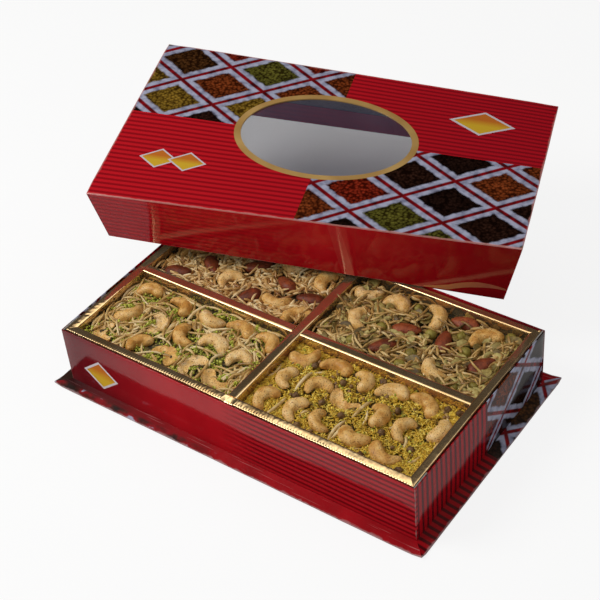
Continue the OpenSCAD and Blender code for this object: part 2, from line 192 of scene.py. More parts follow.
def lozenge_print(add, across, along, length, width):
    """Generic print: a lattice of lozenges with pale outlines, each filled with a spice-like
    speckle in one of several browns, ochres, greens and reds.
    """
    u = add("MULTIPLY", across, 1 / length)
    v = add("MULTIPLY", along, 1 / width)
    offs = []
    cells = []
    for way in ("ADD", "SUBTRACT"):
        ramped = add(way, u, v)
        cells.append(add("FLOOR", ramped))
        part = add("FRACT", ramped)
        offs.append(add("ABSOLUTE", add("SUBTRACT", part, 0.5)))
    rim = add("MAXIMUM", *offs)
    pick = add("TexWhiteNoise", add("CombineXYZ", *cells, 3.0))
    fill = add("ValToRGB", pick, stepped=True, stops=[(0.0, "#2C1A14"), (0.16, "#9C4A22"),
                                                      (0.32, "#A8842F"), (0.46, "#3A2219"),
                                                      (0.6, "#77732E"), (0.74, "#A8341E"),
                                                      (0.88, "#5E3A1C")])
    flat = add("CombineXYZ", across, along, 0.0)
    grain = add("TexVoronoi", Vector=flat, Scale=1 / (2.2 * MM))
    shade = add("ValToRGB", grain, stops=[(0.05, "#FFFFFF"), (0.75, "#6A6058")])
    speckled = add("MixRGB", 1.0, fill, shade, blend_type="MULTIPLY")
    heap = add("MapRange", rim, 0.0, 0.34, 1.0, 0.55)
    heaped = add("MixRGB", 1.0, speckled, add("CombineXYZ", heap, heap, heap),
                 blend_type="MULTIPLY")
    cloud = add("TexNoise", Vector=flat, Scale=1 / (6 * MM), Detail=4.0)
    pale = add("ValToRGB", cloud, stops=[(0.3, "#77788E"), (0.6, "#A9ABC0")])
    frayed = add("ADD", rim, add("MULTIPLY", add("SUBTRACT", cloud, 0.5), 0.09))
    outline = add("MapRange", frayed, 0.335, 0.375)
    ground = add("MapRange", rim, 0.445, 0.47)
    shadow = add("ValToRGB", cloud, stops=[(0.35, "#3C0A0C"), (0.65, "#8A0E16")])
    return add("MixRGB", ground, add("MixRGB", outline, heaped, pale), shadow)


def rubbed(add, place, off, grain, reach, most):
    """Share of the print that is rubbed off near an edge. How far it reaches follows a noise,
    as the values of a MapRange node.
    """
    rough = add("TexNoise", Vector=place, Scale=1 / grain, Detail=4.0)
    return add("MapRange", off, add("MapRange", rough, *reach), 0.0, 0.0, most)


def rubbed_folds(add, place, offs, width):
    """Share of the print that is rubbed off along the folds where two faces of a box meet."""
    apart = [add("ABSOLUTE", off) for off in offs]
    pairs = [add("ADD", apart[a], apart[b]) for a, b in ((0, 1), (0, 2), (1, 2))]
    least = add("MINIMUM", add("MINIMUM", pairs[0], pairs[1]), pairs[2])
    return rubbed(add, place, least, 6 * MM, (0.35, 0.75, 0.05 * MM, width), 0.7)


def with_label(add, printed, place, middle, halves, fade, rim_share, rim):
    """Print with a plain lozenge label on it, which fades from ochre to orange, with a rim."""
    off = [add("MULTIPLY", add("ABSOLUTE", add("SUBTRACT", value, at)), 1 / half)
           for value, at, half in zip(place, middle, halves)]
    reach = add("ADD", *off)
    tint = add("MixRGB", add("MapRange", place[1], *fade), "#CDA42E", "#BE6A26")
    label = add("MixRGB", add("GREATER_THAN", reach, rim_share), tint, rim)
    return add("MixRGB", add("LESS_THAN", reach, 1.0), printed, label)


def laminate(add, shader, place, colour):
    """Film over print on board: glossy, with the slight unevenness of the board under it."""
    board = add("TexNoise", Vector=place, Scale=1 / (14 * MM))
    grain = add("TexNoise", Vector=place, Scale=1 / (0.9 * MM))
    swell = add("Bump", Height=board, Strength=0.2, Distance=0.5 * MM)
    coat(shader, colour,
         add("Bump", Height=grain, Strength=0.06, Distance=0.05 * MM, Normal=swell))


# Polypropylene film over offset print: a thin clear gloss, weaker than glass
GLOSSY_FILM = {"Roughness": 0.1, "IOR": 1.5, "Specular_IOR_Level": 0.26}
base_print, add, shader = new_material("red_print_laminated_base", **GLOSSY_FILM)
place = add("TexCoord", out=3)
x, y, z = add("SeparateXYZ", place).node.outputs
cloud = add("TexNoise", Vector=place, Scale=1 / (40 * MM))
plain = add("ValToRGB", cloud, stops=[(0.35, "#A30F19"), (0.65, "#B0131D")])
level = add("MixRGB", stripes(add, z, BASE_PITCH), "#AC1620", "#6E0B13")
upright = add("MixRGB", stripes(add, y, UPRIGHT_PITCH), "#A8121C", "#5A1218")
facing = add("SIGN", add("MULTIPLY", y, -1.0))
along = add("MULTIPLY", x, facing)
# Painted shade: the print of each long wall darkens towards its left end, seen from outside.
plain = add("MixRGB", add("MapRange", along, -130 * MM, -45 * MM), "#641118", plain)
right_half = add("MapRange", along, -8 * MM, 22 * MM)
long_side = with_label(add, add("MixRGB", right_half, plain, level), (along, z),
                       (-114 * MM, 20 * MM), (16 * MM, 13 * MM), (17 * MM, 25 * MM), 0.84,
                       "#D0C8CC")
picture = lozenge_print(add, y, z, 54 * MM, 42 * MM)
outward = add("MULTIPLY", y, add("SIGN", x))
front_half = add("LESS_THAN", outward, 4 * MM)
short_side = add("MixRGB", front_half, picture, upright)
on_long = add("GREATER_THAN", add("ABSOLUTE", y), BASE_HALF_W - 2.2 * MM)
printed = add("MixRGB", on_long, short_side, long_side)
offs = [add("SUBTRACT", half, add("ABSOLUTE", part))
        for half, part in ((BASE_HALF_L, x), (BASE_HALF_W, y))]
offs.append(add("SUBTRACT", z, WALL_FOOT))
worn = rubbed_folds(add, place, offs, 1.3 * MM)
laminate(add, shader, place, add("MixRGB", worn, printed, "#A8918C"))

for name, turned, half, across, depth in (
        ("front_wall", 0, BASE_HALF_L, BASE_HALF_W, 0.9 * MM),
        ("right_wall", 1, BASE_HALF_W - WALL_T, BASE_HALF_L, 0.8 * MM),
        ("back_wall", 2, BASE_HALF_L, BASE_HALF_W, 0.9 * MM),
        ("left_wall", 3, BASE_HALF_W - WALL_T, BASE_HALF_L, 0.7 * MM)):
    wall = shaped_block(
        (28, 0, 9),
        lambda along, out, up: (
            2 * half * along,
            WALL_T * (out + 0.5) - across - depth * wall_bulge(along, up, turned * 3.7),
            WALL_FOOT + (WALL_TOP - WALL_FOOT) * (up + 0.5)),
        lambda co: co.z > 0.49 or (abs(co.x) > 0.49 and co.y < -0.49), FOLD_ROUND)
    bmesh.ops.rotate(wall, verts=wall.verts, matrix=Matrix.Rotation(turned * math.pi / 2, 3, "Z"))
    sharpen(finish_piece(wall, name + "_board", [base_print], "base", "base_red", [name]))

# Brim round the foot of the base.
# The same laminated board, glued under the walls and sloping down to the table. Its tips
# curl up a little. Its pale outer edges are partly worn board and partly painted highlight,
# and its left parts are darkened with painted shade.

BRIM_WIDE = 9.7 * MM
BRIM_T = 1.0 * MM

# The brim's film is scuffed, so it mirrors less than the walls do
brim_print, add, shader = new_material(
    "red_print_laminated_brim", Roughness=0.25, IOR=1.5, Specular_IOR_Level=0.08)
place = add("TexCoord", out=3)
x, y, z = add("SeparateXYZ", place).node.outputs
cloud = add("TexNoise", Vector=place, Scale=1 / (30 * MM))
plain = add("ValToRGB", cloud, stops=[(0.35, "#8A0D15"), (0.65, "#A4131C")])
# Painted shade: the long brims darken towards their left ends.
plain = add("MixRGB", add("MapRange", x, -145 * MM, -10 * MM), "#2E0A0C", plain)
upright = add("MixRGB", stripes(add, y, UPRIGHT_PITCH), "#920C15", "#4A090E")
outward = add("MULTIPLY", y, add("SIGN", x))
upright = add("MixRGB", add("LESS_THAN", outward, 4 * MM),
              lozenge_print(add, y, x, 54 * MM, 42 * MM), upright)
# Painted shade: the left brim is dark brown all over instead of printed.
upright = add("MixRGB", add("LESS_THAN", x, 0.0), upright, "#33201A")
off_l, off_w = [add("SUBTRACT", half + BRIM_WIDE, add("ABSOLUTE", part))
                for half, part in ((BASE_HALF_L, x), (BASE_HALF_W, y))]
# Painted shade and highlights: dark and pale blue-grey blotches on the outer part of the long
# brims, left of the middle.
blotch = add("TexNoise", Vector=place, Scale=1 / (15 * MM), Detail=3.0)
painted_shade_and_glints = add("ValToRGB", blotch, stops=[(0.4, "#241412"), (0.48, "#4A1814"), (0.56, "#7C1219"),
                                         (0.62, "#8A1018"), (0.66, "#A6A8BE")])
patchy = add("MULTIPLY", add("MapRange", off_w, 3.5 * MM, 5.5 * MM, 1.0, 0.0),
             add("MapRange", x, -45 * MM, -5 * MM, 1.0, 0.0))
# Painted highlight: pale pink streaks along the long brims, standing in for light on the curled
# edge.
painted_highlight_streaks = add("TexNoise", Vector=add("CombineXYZ", add("MULTIPLY", x, 0.02), off_w, 0.0),
             Scale=1 / (0.9 * MM))
plain = add("MixRGB", add("MapRange", painted_highlight_streaks, 0.62, 0.7, 0.0, 0.45), plain, "#D08C8A")
plain = add("MixRGB", patchy, plain, painted_shade_and_glints)
on_side = add("LESS_THAN", off_l, off_w)
# Pale outer edges: partly real wear, partly a painted highlight of the curled edge.
worn = rubbed(add, place, add("MINIMUM", off_l, off_w), 8 * MM, (0.42, 0.66, 0.3 * MM, 1.9 * MM),
              0.8)
laminate(add, shader, place, add("MixRGB", worn, add("MixRGB", on_side, plain, upright),
                                 "#AC9090"))


def brim_shape(along, out, up, half, across, seed):
    """Point of a brim strip: sloping, a little wavy, with its two tips curled up."""
    run_out = 0.5 - out
    tip = max(0.0, abs(2 * along) - 0.93) / 0.07
    wave = noise.noise(Vector((along * 9, seed, run_out)))
    lift = run_out * (1.6 * MM * tip ** 2 + 0.35 * MM * (wave + 0.4))
    return (2 * (half + BRIM_WIDE * run_out) * along, -across - BRIM_WIDE * run_out,
            WALL_FOOT * (1 - run_out) + BRIM_T * (up + 0.5) + lift)


for name, turned, half, across in (
        ("front_brim", 0, BASE_HALF_L, BASE_HALF_W), ("right_brim", 1, BASE_HALF_W, BASE_HALF_L),
        ("back_brim", 2, BASE_HALF_L, BASE_HALF_W), ("left_brim", 3, BASE_HALF_W, BASE_HALF_L)):
    strip = shaped_block(
        (40, 5, 0),
        lambda along, out, up: brim_shape(along, out, up, half, across, turned * 7.3),
        lambda co: co.y < -0.49, FOLD_ROUND)
    bmesh.ops.rotate(strip, verts=strip.verts,
                     matrix=Matrix.Rotation(turned * math.pi / 2, 3, "Z"))
    sharpen(finish_piece(strip, name + "_board", [brim_print], "base", "base_red", [name]))

# Gold tray: floor, ledges and dividers.
# Metallised paper on thin board, folded into open channels. It is almost a mirror, pressed
# into fine ripples along the folds, and the light catches the rounded folds as thin lines.

TRAY_HALF_L = 143 * MM
TRAY_HALF_W = 82 * MM
LEDGE_WIDE = 6 * MM
FOIL_T = 0.6 * MM
DIVIDER_WIDE = 7.5 * MM
TRAY_TOP = 49.6 * MM
TRAY_FOOT = 1.6 * MM
RIPPLE_PITCH = 2.1 * MM
RIPPLE_DEEP = 2 * MM
DROOP_RUN = 40 * MM
NOTCH_HALF = 5 * MM
FOIL_WAVE = 0.05 * MM
FOIL_ROUND = 0.5 * MM

# Metallised paper: a gold-toned aluminium skin over paper, smooth but not quite flat
gold_foil, add, shader = new_material("gold_metallised_paper", Metallic=0.91, Roughness=0.11)
place = add("TexCoord", out=3)
cloud = add("TexNoise", Vector=place, Scale=1 / (22 * MM))
colour = add("ValToRGB", cloud, stops=[(0.3, "#D8B582"), (0.7, "#EBD3A6")])
wrinkle = add("TexNoise", Vector=place, Scale=1 / (7 * MM), Detail=1.5, Distortion=0.6)
fine = add("TexNoise", Vector=place, Scale=1 / (1.2 * MM))
swell = add("Bump", Height=wrinkle, Strength=0.2, Distance=0.3 * MM)
coat(shader, colour, add("Bump", Height=fine, Strength=0.1, Distance=0.05 * MM, Normal=swell))
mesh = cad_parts["tray_floor"].data
mesh.materials.clear()
mesh.materials.append(gold_foil)


def foil_channel(name, ends, side, height, cuts, place, ripple, droop, begin, lip, seed):
    """Folded channel, open underneath: a strip across its top with both sides turned down.
    The strip is rippled along its outer fold, and the ripples fade out a little below it. From
    the place where its droop begins it falls to that fold, or to its inner fold if the droop is
    negative. It is bent down in the middle, where a divider is pushed in, and at both folds by
    its lip.
    """
    sheet = bmesh.new()
    bmesh.ops.create_grid(sheet, x_segments=cuts, y_segments=6, size=0.5)
    rims = [e for e in sheet.edges if e.is_boundary
            and all(abs(v.co.y) > 0.49 for v in e.verts)]
    folds = list(rims)
    units = {v: v.co.copy() for v in sheet.verts}
    for vert, unit in units.items():
        low, high = ends(unit.y)
        run = low + (high - low) * (unit.x + 0.5)
        inside = abs(unit.x) < 0.499
        outer = 0.5 - unit.y
        wave = noise.noise(Vector((run * 60, unit.y * 2, seed)))
        crinkle = noise.noise(Vector((run * 420, unit.y * 4, seed))) * (unit.y ** 2 * 4 - 1)
        far = min(1.0, max(0.0, (run - begin) / DROOP_RUN))
        crease = ripple * (2.2 - 1.5 * far) * math.sin(2 * math.pi * run / RIPPLE_PITCH)
        crease *= outer ** 6
        fall = abs(droop) * far * far * (3 - 2 * far) * (1 + 0.7 * wave)
        fall *= outer ** 2 if droop > 0 else (1 - outer) ** 2
        bent = 1.6 * max(0.0, droop) * max(0.0, 1 - (run / NOTCH_HALF) ** 4) * outer
        relief = crease + FOIL_WAVE * wave + 0.16 * droop * far * crinkle - fall - bent
        vert.co = (run, side(unit.y), height + (relief if inside else 0.0)
                   - (lip if abs(unit.y) > 0.49 else 0.0))
    for level in (height - RIPPLE_DEEP, 0.0):
        turned_down = bmesh.ops.extrude_edge_only(sheet, edges=rims)["geom"]
        corners = {item for item in turned_down if isinstance(item, bmesh.types.BMVert)}
        for vert in corners:
            vert.co.z = level
        rims = [item for item in turned_down if isinstance(item, bmesh.types.BMEdge)
                and corners.issuperset(item.verts)]
    bmesh.ops.bevel(sheet, geom=folds, offset=FOIL_ROUND, affect="EDGES", segments=3,
                    profile=0.5, material=-1)
    bmesh.ops.transform(sheet, verts=sheet.verts, matrix=place)
    sheet.normal_update()
    if max(sheet.faces, key=lambda f: f.calc_center_median().z).normal.z < 0:
        bmesh.ops.reverse_faces(sheet, faces=sheet.faces)
    piece = finish_piece(sheet, name + "_foil", [gold_foil], "tray", "gold_foil", [name])
    board = piece.modifiers.new("board", "SOLIDIFY")
    board.thickness = FOIL_T
    board.offset = -1
    return sharpen(piece, 60)


for name, turned, half, across, ripple, droop, begin, lip in (
        ("front_ledge", 0, TRAY_HALF_L, TRAY_HALF_W, 0.18 * MM, 0.6 * MM, -52 * MM, 0.0),
        ("right_ledge", 1, TRAY_HALF_W, TRAY_HALF_L, 0.0, 0.0, 0.0, 0.06 * MM),
        ("back_ledge", 2, TRAY_HALF_L, TRAY_HALF_W, 0.03 * MM, 0.1 * MM, 0.0, 0.5 * MM),
        ("left_ledge", 3, TRAY_HALF_W, TRAY_HALF_L, 0.03 * MM, -0.9 * MM, 20 * MM, 0.1 * MM)):
    foil_channel(
        name,
        lambda side: (LEDGE_WIDE * (side + 0.5) - half, half - LEDGE_WIDE * (side + 0.5)),
        lambda side: LEDGE_WIDE * (side + 0.5) - across,
        TRAY_TOP - TRAY_FOOT, 860,
        Matrix.Rotation(turned * math.pi / 2, 4, "Z") @ Matrix.Translation((0, 0, TRAY_FOOT)),
        ripple, droop, begin, lip, turned * 5.1)

WELL_HALF_L = TRAY_HALF_L - LEDGE_WIDE
WELL_HALF_W = TRAY_HALF_W - LEDGE_WIDE
for name, turned, low, high, lip in (
        ("cross_divider", 1, -WELL_HALF_W, WELL_HALF_W, 0.3 * MM),
        ("long_divider_left", 0, -WELL_HALF_L, -DIVIDER_WIDE / 2, 0.4 * MM),
        ("long_divider_right", 0, DIVIDER_WIDE / 2, WELL_HALF_L, 0.2 * MM)):
    foil_channel(
        name, lambda side: (low, high), lambda side: DIVIDER_WIDE * side,
        TRAY_TOP - TRAY_FOOT - FOIL_T, 60,
        Matrix.Translation((0, 0, TRAY_FOOT + FOIL_T))
        @ Matrix.Rotation(turned * math.pi / 2, 4, "Z"), 0.0, 0.0, 0.0, lip, low * 90)

# Beds of the four mixes.
# Fine crumbs and broken bits that fill each compartment below the loose pieces, with painted
# shade in the gaps between them. Each is a lumpy block that stands on the tray floor.

CELL_L = WELL_HALF_L - DIVIDER_WIDE / 2
CELL_W = WELL_HALF_W - DIVIDER_WIDE / 2
BED_TOP = 42.1 * MM
BED_FOOT = 2.3 * MM
CELL_CLEAR = 0.25 * MM
CORNERS = {
    "green_mix": (-WELL_HALF_L, -WELL_HALF_W),
    "yellow_mix": (DIVIDER_WIDE / 2, -WELL_HALF_W),
    "stick_mix": (-WELL_HALF_L, DIVIDER_WIDE / 2),
    "flake_mix": (DIVIDER_WIDE / 2, DIVIDER_WIDE / 2),
}


def bed_height(x, y):
    """Height of the loose surface of a bed, lumpy over a few millimetres."""
    big = noise.noise(Vector((x * 55, y * 55, 0.3)))
    small = noise.noise(Vector((x * 210, y * 210, 4.1)))
    return BED_TOP - 1.5 * MM + 1.1 * MM * big + 0.7 * MM * small


# Broken fried crumbs, matt and oily, in the mixed colours of their mix
CRUMB_ACROSS = 1.8 * MM
for name, codes in (
        ("green_mix", ["#8A7038", "#6A5626", "#7C7E28", "#A0884C", "#5A4A22", "#8C8C32"]),
        ("yellow_mix", ["#A8841E", "#8C6A18", "#B8942A", "#6A5216", "#9E7E24"]),
        ("stick_mix", ["#7A5A32", "#5A3E22", "#957246", "#493420", "#82623A"]),
        ("flake_mix", ["#5E5428", "#4A4422", "#766834", "#3E361C", "#6A5A2E"])):
    crumbs, add, shader = new_material(name + "_fried_crumbs", Roughness=0.6)
    place = add("TexCoord", out=3)
    cell = {"Vector": place, "Scale": 1 / CRUMB_ACROSS}
    pick = add("TexWhiteNoise", add("TexVoronoi", **cell, out=2))
    off = add("TexVoronoi", **cell)
    colour = add("ValToRGB", pick, stepped=True, stops=[(i / len(codes), code)
                                                        for i, code in enumerate(codes)])
    # Painted shade: each crumb darkens towards its edges, in the gaps between crumbs.
    painted_gap_shade = add("ValToRGB", off, stops=[(0.1, "#FFFFFF"), (0.7, "#4A4036")])
    coat(shader, add("MixRGB", 1.0, colour, painted_gap_shade, blend_type="MULTIPLY"),
         add("Bump", Height=off, Strength=0.8, Distance=0.8 * MM, invert=True))
    low_x, low_y = CORNERS[name]
    bed = bmesh.new()
    bmesh.ops.create_grid(bed, x_segments=90, y_segments=50, size=0.5)
    for vert in bed.verts:
        x = low_x + CELL_CLEAR + (CELL_L - 2 * CELL_CLEAR) * (vert.co.x + 0.5)
        y = low_y + CELL_CLEAR + (CELL_W - 2 * CELL_CLEAR) * (vert.co.y + 0.5)
        vert.co = (x, y, bed_height(x, y))
    skirt = bmesh.ops.extrude_edge_only(bed, edges=[e for e in bed.edges if e.is_boundary])
    for item in skirt["geom"]:
        if isinstance(item, bmesh.types.BMVert):
            item.co.z = BED_FOOT
    bmesh.ops.contextual_create(bed, geom=[e for e in bed.edges if e.is_boundary])
    bmesh.ops.recalc_face_normals(bed, faces=bed.faces)
    finish_piece(bed, name + "_bed", [crumbs], "tray", name, [name])

# Nuts, peas and peppercorns.
# Whole roasted cashews and almonds, fried green peas and black peppercorns, half sunk in the
# mixes where the part has them. Some cashews are split halves that show their hollow.

TONE = "tone"


def separate_solids(node_name):
    """Middle and two farthest corners of each separate solid of a CAD piece. The corners are
    sorted, so that every run takes the same two where more than two are as far apart.
    """
    joined = bmesh.new()
    joined.from_mesh(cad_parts[node_name].data)
    bmesh.ops.remove_doubles(joined, verts=joined.verts, dist=0.01 * MM)
    solids = []
    left = set(joined.verts)
    while left:
        front = [left.pop()]
        points = []
        while front:
            vert = front.pop()
            points.append(vert.co.copy())
            for edge in vert.link_edges:
                other = edge.other_vert(vert)
                if other in left:
                    left.remove(other)
                    front.append(other)
        points.sort(key=tuple)
        middle = sum(points, Vector()) / len(points)
        pairs = [(p, q) for p in points for q in points]
        ends = max(pairs, key=lambda pair: (pair[0] - pair[1]).length)
        solids.append((middle, ends[0], ends[1]))
    joined.free()
    return sorted(solids, key=lambda solid: tuple(solid[0]))


def small_mesh(shape):
    """Mesh of a small shape that is laid many times, each time with a tone of its own."""
    mesh = bpy.data.meshes.new("shape")
    shape.to_mesh(mesh)
    shape.free()
    mesh.attributes.new(TONE, "FLOAT", "POINT")
    return mesh


def shaped_ball(across, along, shape):
    """Round mesh, with its poles along Y, moved into shape from each point's place along
    it, from -1 to 1, and its angle round it.
    """
    ball = bmesh.new()
    bmesh.ops.create_uvsphere(ball, u_segments=across, v_segments=along, radius=1)
    for vert in ball.verts:
        x, y, z = vert.co
        vert.co = shape(z, math.atan2(y, x))
    bmesh.ops.recalc_face_normals(ball, faces=ball.faces)
    return small_mesh(ball)


def lay(pile, template, place, tone):
    """Adds a copy of a small shape to a pile at a place, with a tone of its own."""
    one = template.copy()
    one.transform(place)
    one.attributes[TONE].data.foreach_set("value", [tone] * len(one.vertices))
    pile.from_mesh(one)
    bpy.data.meshes.remove(one)


CURVE_R = 7.4 * MM
NUT_R = 3.9 * MM
CURVE_MIDDLE = 4.34 * MM
NUT_TURN = math.radians(94)


def cashew_shape(seed, bend, thin, split):
    """Makes a cashew: a tapered curve with a dimple inside, or one half split open."""
    def shape(along, around):
        swell = 1.1 * math.sqrt(max(0.0, 1 - along ** 4)) * (1 - 0.17 * along) * thin
        swell *= 1 + 0.10 * math.cos(2.6 * along) - 0.05
        lump = noise.noise(Vector((along * 2.2, math.cos(around) * 1.4 + seed,
                                   math.sin(around) * 1.4)))
        dimple = math.exp(-(math.pi - abs(around)) ** 2 * 5) * (1 - along ** 2)
        seam = math.exp(-around ** 2 * 60) + math.exp(-(math.pi - abs(around)) ** 2 * 60)
        dent = noise.noise(Vector((along * 6, math.cos(around) * 3, math.sin(around) * 3 + seed)))
        reach = NUT_R * swell * (1 + 0.16 * lump + 0.05 * dent - 0.12 * dimple - 0.06 * seam)
        turn = NUT_TURN * bend * along
        radius = CURVE_R / bend
        across = radius + reach * math.cos(around)
        height = reach * math.sin(around) * 0.94
        if split and height > 0:
            share = math.cos(around)
            height = -0.34 * reach * math.exp(-(share * 1.9) ** 2) - 0.05 * reach
            height += 0.1 * reach * noise.noise(Vector((along * 5, share * 3, seed)))
        return (across * math.cos(turn) - radius + CURVE_R - CURVE_MIDDLE,
                across * math.sin(turn), height)
    return shape


WHOLE_CASHEWS = [shaped_ball(20, 30, cashew_shape(*facts)) for facts in (
    (1.3, 1.0, 1.0, False), (5.9, 0.86, 1.06, False), (9.4, 1.1, 0.93, False),
    (14.2, 0.95, 1.0, False))]
SPLIT_CASHEWS = [shaped_ball(20, 30, cashew_shape(*facts)) for facts in (
    (3.1, 0.95, 1.0, True), (7.7, 1.08, 1.05, True))]


def roasted(name, stops, spots, spot_share, speck, roughness, bump):
    """Skin of a roasted or dried seed: mottled, with toasted spots and a fine grain."""
    made, add, shader = new_material(
        name, Roughness=roughness, Subsurface_Weight=0.08, Specular_IOR_Level=0.3)
    shader.inputs["Subsurface Radius"].default_value = (3 * MM, 1.6 * MM, 0.8 * MM)
    place = add("TexCoord", out=3)
    tone = add("Attribute", out=2, attribute_name=TONE)
    mottle = add("TexNoise", Vector=place, Scale=1 / (5 * MM), Detail=4.0)
    value = add("ADD", add("MULTIPLY", mottle, 0.75), add("MULTIPLY", tone, 0.5))
    base = add("ValToRGB", value, stops=stops)
    grain = add("TexNoise", Vector=place, Scale=1 / speck, Detail=3.0)
    spotted = add("MapRange", grain, spot_share, spot_share + 0.08)
    coat(shader, add("MixRGB", spotted, base, spots),
         add("Bump", Height=grain, Strength=0.5, Distance=bump))
    return made


cashew_skin = roasted("cashew_roasted_oiled", [
    (0.3, "#C28A40"), (0.42, "#DCAC60"), (0.6, "#EAC484"), (0.85, "#F4DEB2")],
    "#8E5C2A", 0.57, 0.8 * MM, 0.42, 0.35 * MM)
obstacles = {name: [] for name in CORNERS}
SPLIT_ONES = {"green_mix": (1, 3, 6, 9, 12), "yellow_mix": (8,), "stick_mix": (),
              "flake_mix": ()}
for name in CORNERS:
    rng = random.Random("cashews of " + name)
    pile = bmesh.new()
    for index, (middle, first, second) in enumerate(separate_solids(name + "_cashews")):
        chord = (second - first).normalized()
        halfway = (first + second) / 2
        bulge = middle - halfway
        bulge.z = 0
        bulge.normalize()
        if bulge.cross(chord).z < 0:
            chord = -chord
        place = Matrix((bulge, chord, bulge.cross(chord))).transposed().to_4x4()
        split = index in SPLIT_ONES[name]
        tilt = Matrix.Rotation(math.radians(rng.uniform(-24, 24) * (0.4 if split else 1)), 4, "Y")
        roll = Matrix.Rotation(math.radians(rng.uniform(-12, 12)), 4, "X")
        size = Matrix.Scale(rng.uniform(1.02, 1.16) * (1.08 if CORNERS[name][1] > 0 else 1), 4)
        middle_of_curve = halfway + bulge * 2.6 * MM
        place = Matrix.Translation(middle_of_curve) @ place @ tilt @ roll @ size
        template = rng.choice(SPLIT_CASHEWS if split else WHOLE_CASHEWS)
        lay(pile, template, place, rng.uniform(-0.1, 0.4) + (0.15 if split else 0))
        for step in range(-3, 4):
            turn = NUT_TURN * step / 3.4
            obstacles[name].append((place @ Vector((
                CURVE_R * math.cos(turn) - CURVE_MIDDLE, CURVE_R * math.sin(turn), 0)), NUT_R))
    finish_piece(pile, name + "_roasted_cashews", [cashew_skin], "tray", "cashew",
                 [name + "_cashews"])

almond_skin = roasted("almond_brown_skin", [
    (0.3, "#5C2814"), (0.5, "#843C1E"), (0.7, "#A6572E"), (0.9, "#C07E50")],
    "#42190D", 0.58, 1.0 * MM, 0.5, 0.5 * MM)
ALMOND_HALF_L = 10.9 * MM
ALMOND_HALF_W = 5.7 * MM
ALMOND_FLAT = 0.72


def almond_shape(seed):
    """Makes an almond: a flattened drop with wrinkles that run from end to end."""
    def shape(along, around):
        swell = math.sqrt(max(0.0, 1 - abs(along) ** 2.3)) * (1 + 0.22 * along)
        swell *= 1 - 0.25 * max(0.0, along) ** 6
        wrinkle = noise.noise(Vector((along * 1.2, math.cos(around) * 5 + seed,
                                      math.sin(around) * 5)))
        reach = ALMOND_HALF_W * swell * (1 + 0.07 * wrinkle)
        return (ALMOND_HALF_L * along, reach * math.cos(around),
                ALMOND_FLAT * reach * math.sin(around))
    return shape


ALMONDS = [shaped_ball(36, 24, almond_shape(seed)) for seed in (0.4, 6.1, 12.8)]
for name in ("stick_mix", "flake_mix"):
    rng = random.Random("almonds of " + name)
    pile = bmesh.new()
    for middle, first, second in separate_solids(name + "_almonds"):
        chord = (second - first).normalized() * rng.choice((-1, 1))
        across = Vector((0, 0, 1)).cross(chord)
        place = Matrix((chord, across, chord.cross(across))).transposed().to_4x4()
        place = (Matrix.Translation(middle + Vector((0, 0, 1.3 * MM))) @ place
                 @ Matrix.Rotation(math.radians(rng.uniform(-30, 30)), 4, "X")
                 @ Matrix.Rotation(math.radians(rng.uniform(-10, 10)), 4, "Y"))
        lay(pile, rng.choice(ALMONDS), place, rng.uniform(-0.1, 0.4))
        for step in range(-3, 4):
            obstacles[name].append((place @ Vector((3 * MM * step, 0, 0)),
                                    (5.4 - abs(step) * 0.7) * MM))
    finish_piece(pile, name + "_brown_almonds", [almond_skin], "tray", "almond",
                 [name + "_almonds"])

pea_skin = roasted("pea_fried_green", [
    (0.3, "#746426"), (0.5, "#918338"), (0.75, "#AA9C4E"), (0.9, "#BEB068")],
    "#5C5420", 0.64, 1.0 * MM, 0.5, 0.15 * MM)
pepper_skin = roasted("peppercorn_dried", [
    (0.3, "#54391F"), (0.5, "#7A5A36"), (0.9, "#A27E50")],
    "#332314", 0.62, 0.7 * MM, 0.5, 0.3 * MM)


def grain_shape(radius, dent, wrinkle, seed):
    """Makes a pea or a peppercorn: a ball with a dent and a wrinkled skin."""
    def shape(along, around):
        ring = math.sqrt(max(0.0, 1 - along ** 2))
        way = Vector((ring * math.cos(around), ring * math.sin(around), along))
        rough = noise.noise(way * 3.4 + Vector((seed, 0, 0)))
        hollow = math.exp(-((along - 0.9) ** 2) * 18)
        return way * radius * (1 + wrinkle * rough - dent * hollow)
    return shape


for node_name, skin, radius, lift, dent, wrinkle in (
        ("flake_mix_peas", pea_skin, 4.1 * MM, 0.6 * MM, 0.2, 0.16),
        ("yellow_mix_peppercorns", pepper_skin, 2.5 * MM, 0.3 * MM, 0.25, 0.45)):
    rng = random.Random(node_name)
    shapes = [shaped_ball(20, 14, grain_shape(radius, dent, wrinkle, seed))
              for seed in (1.0, 4.4, 8.1)]
    pile = bmesh.new()
    for middle, first, second in separate_solids(node_name):
        turn = Euler([rng.uniform(0, 6.28) for _ in range(3)]).to_matrix().to_4x4()
        place = Matrix.Translation(middle + Vector((0, 0, lift))) @ turn
        place = place @ Matrix.Diagonal((1, 1, rng.uniform(0.78, 1), 1))
        lay(pile, rng.choice(shapes), place, rng.uniform(-0.1, 0.4))
        obstacles[node_name[:node_name.index("mix") + 3]].append((place @ Vector(), radius))
    finish_piece(pile, node_name + "_round", [skin], "tray",
                 "pea" if "pea" in node_name[-4:] else "peppercorn", [node_name])

# Fried potato sticks.
# Thin cut potato, fried until it curls, from cream to brown at the thin ends. Each is a
# closed tube of a few faces, because one mix has over a thousand of them.


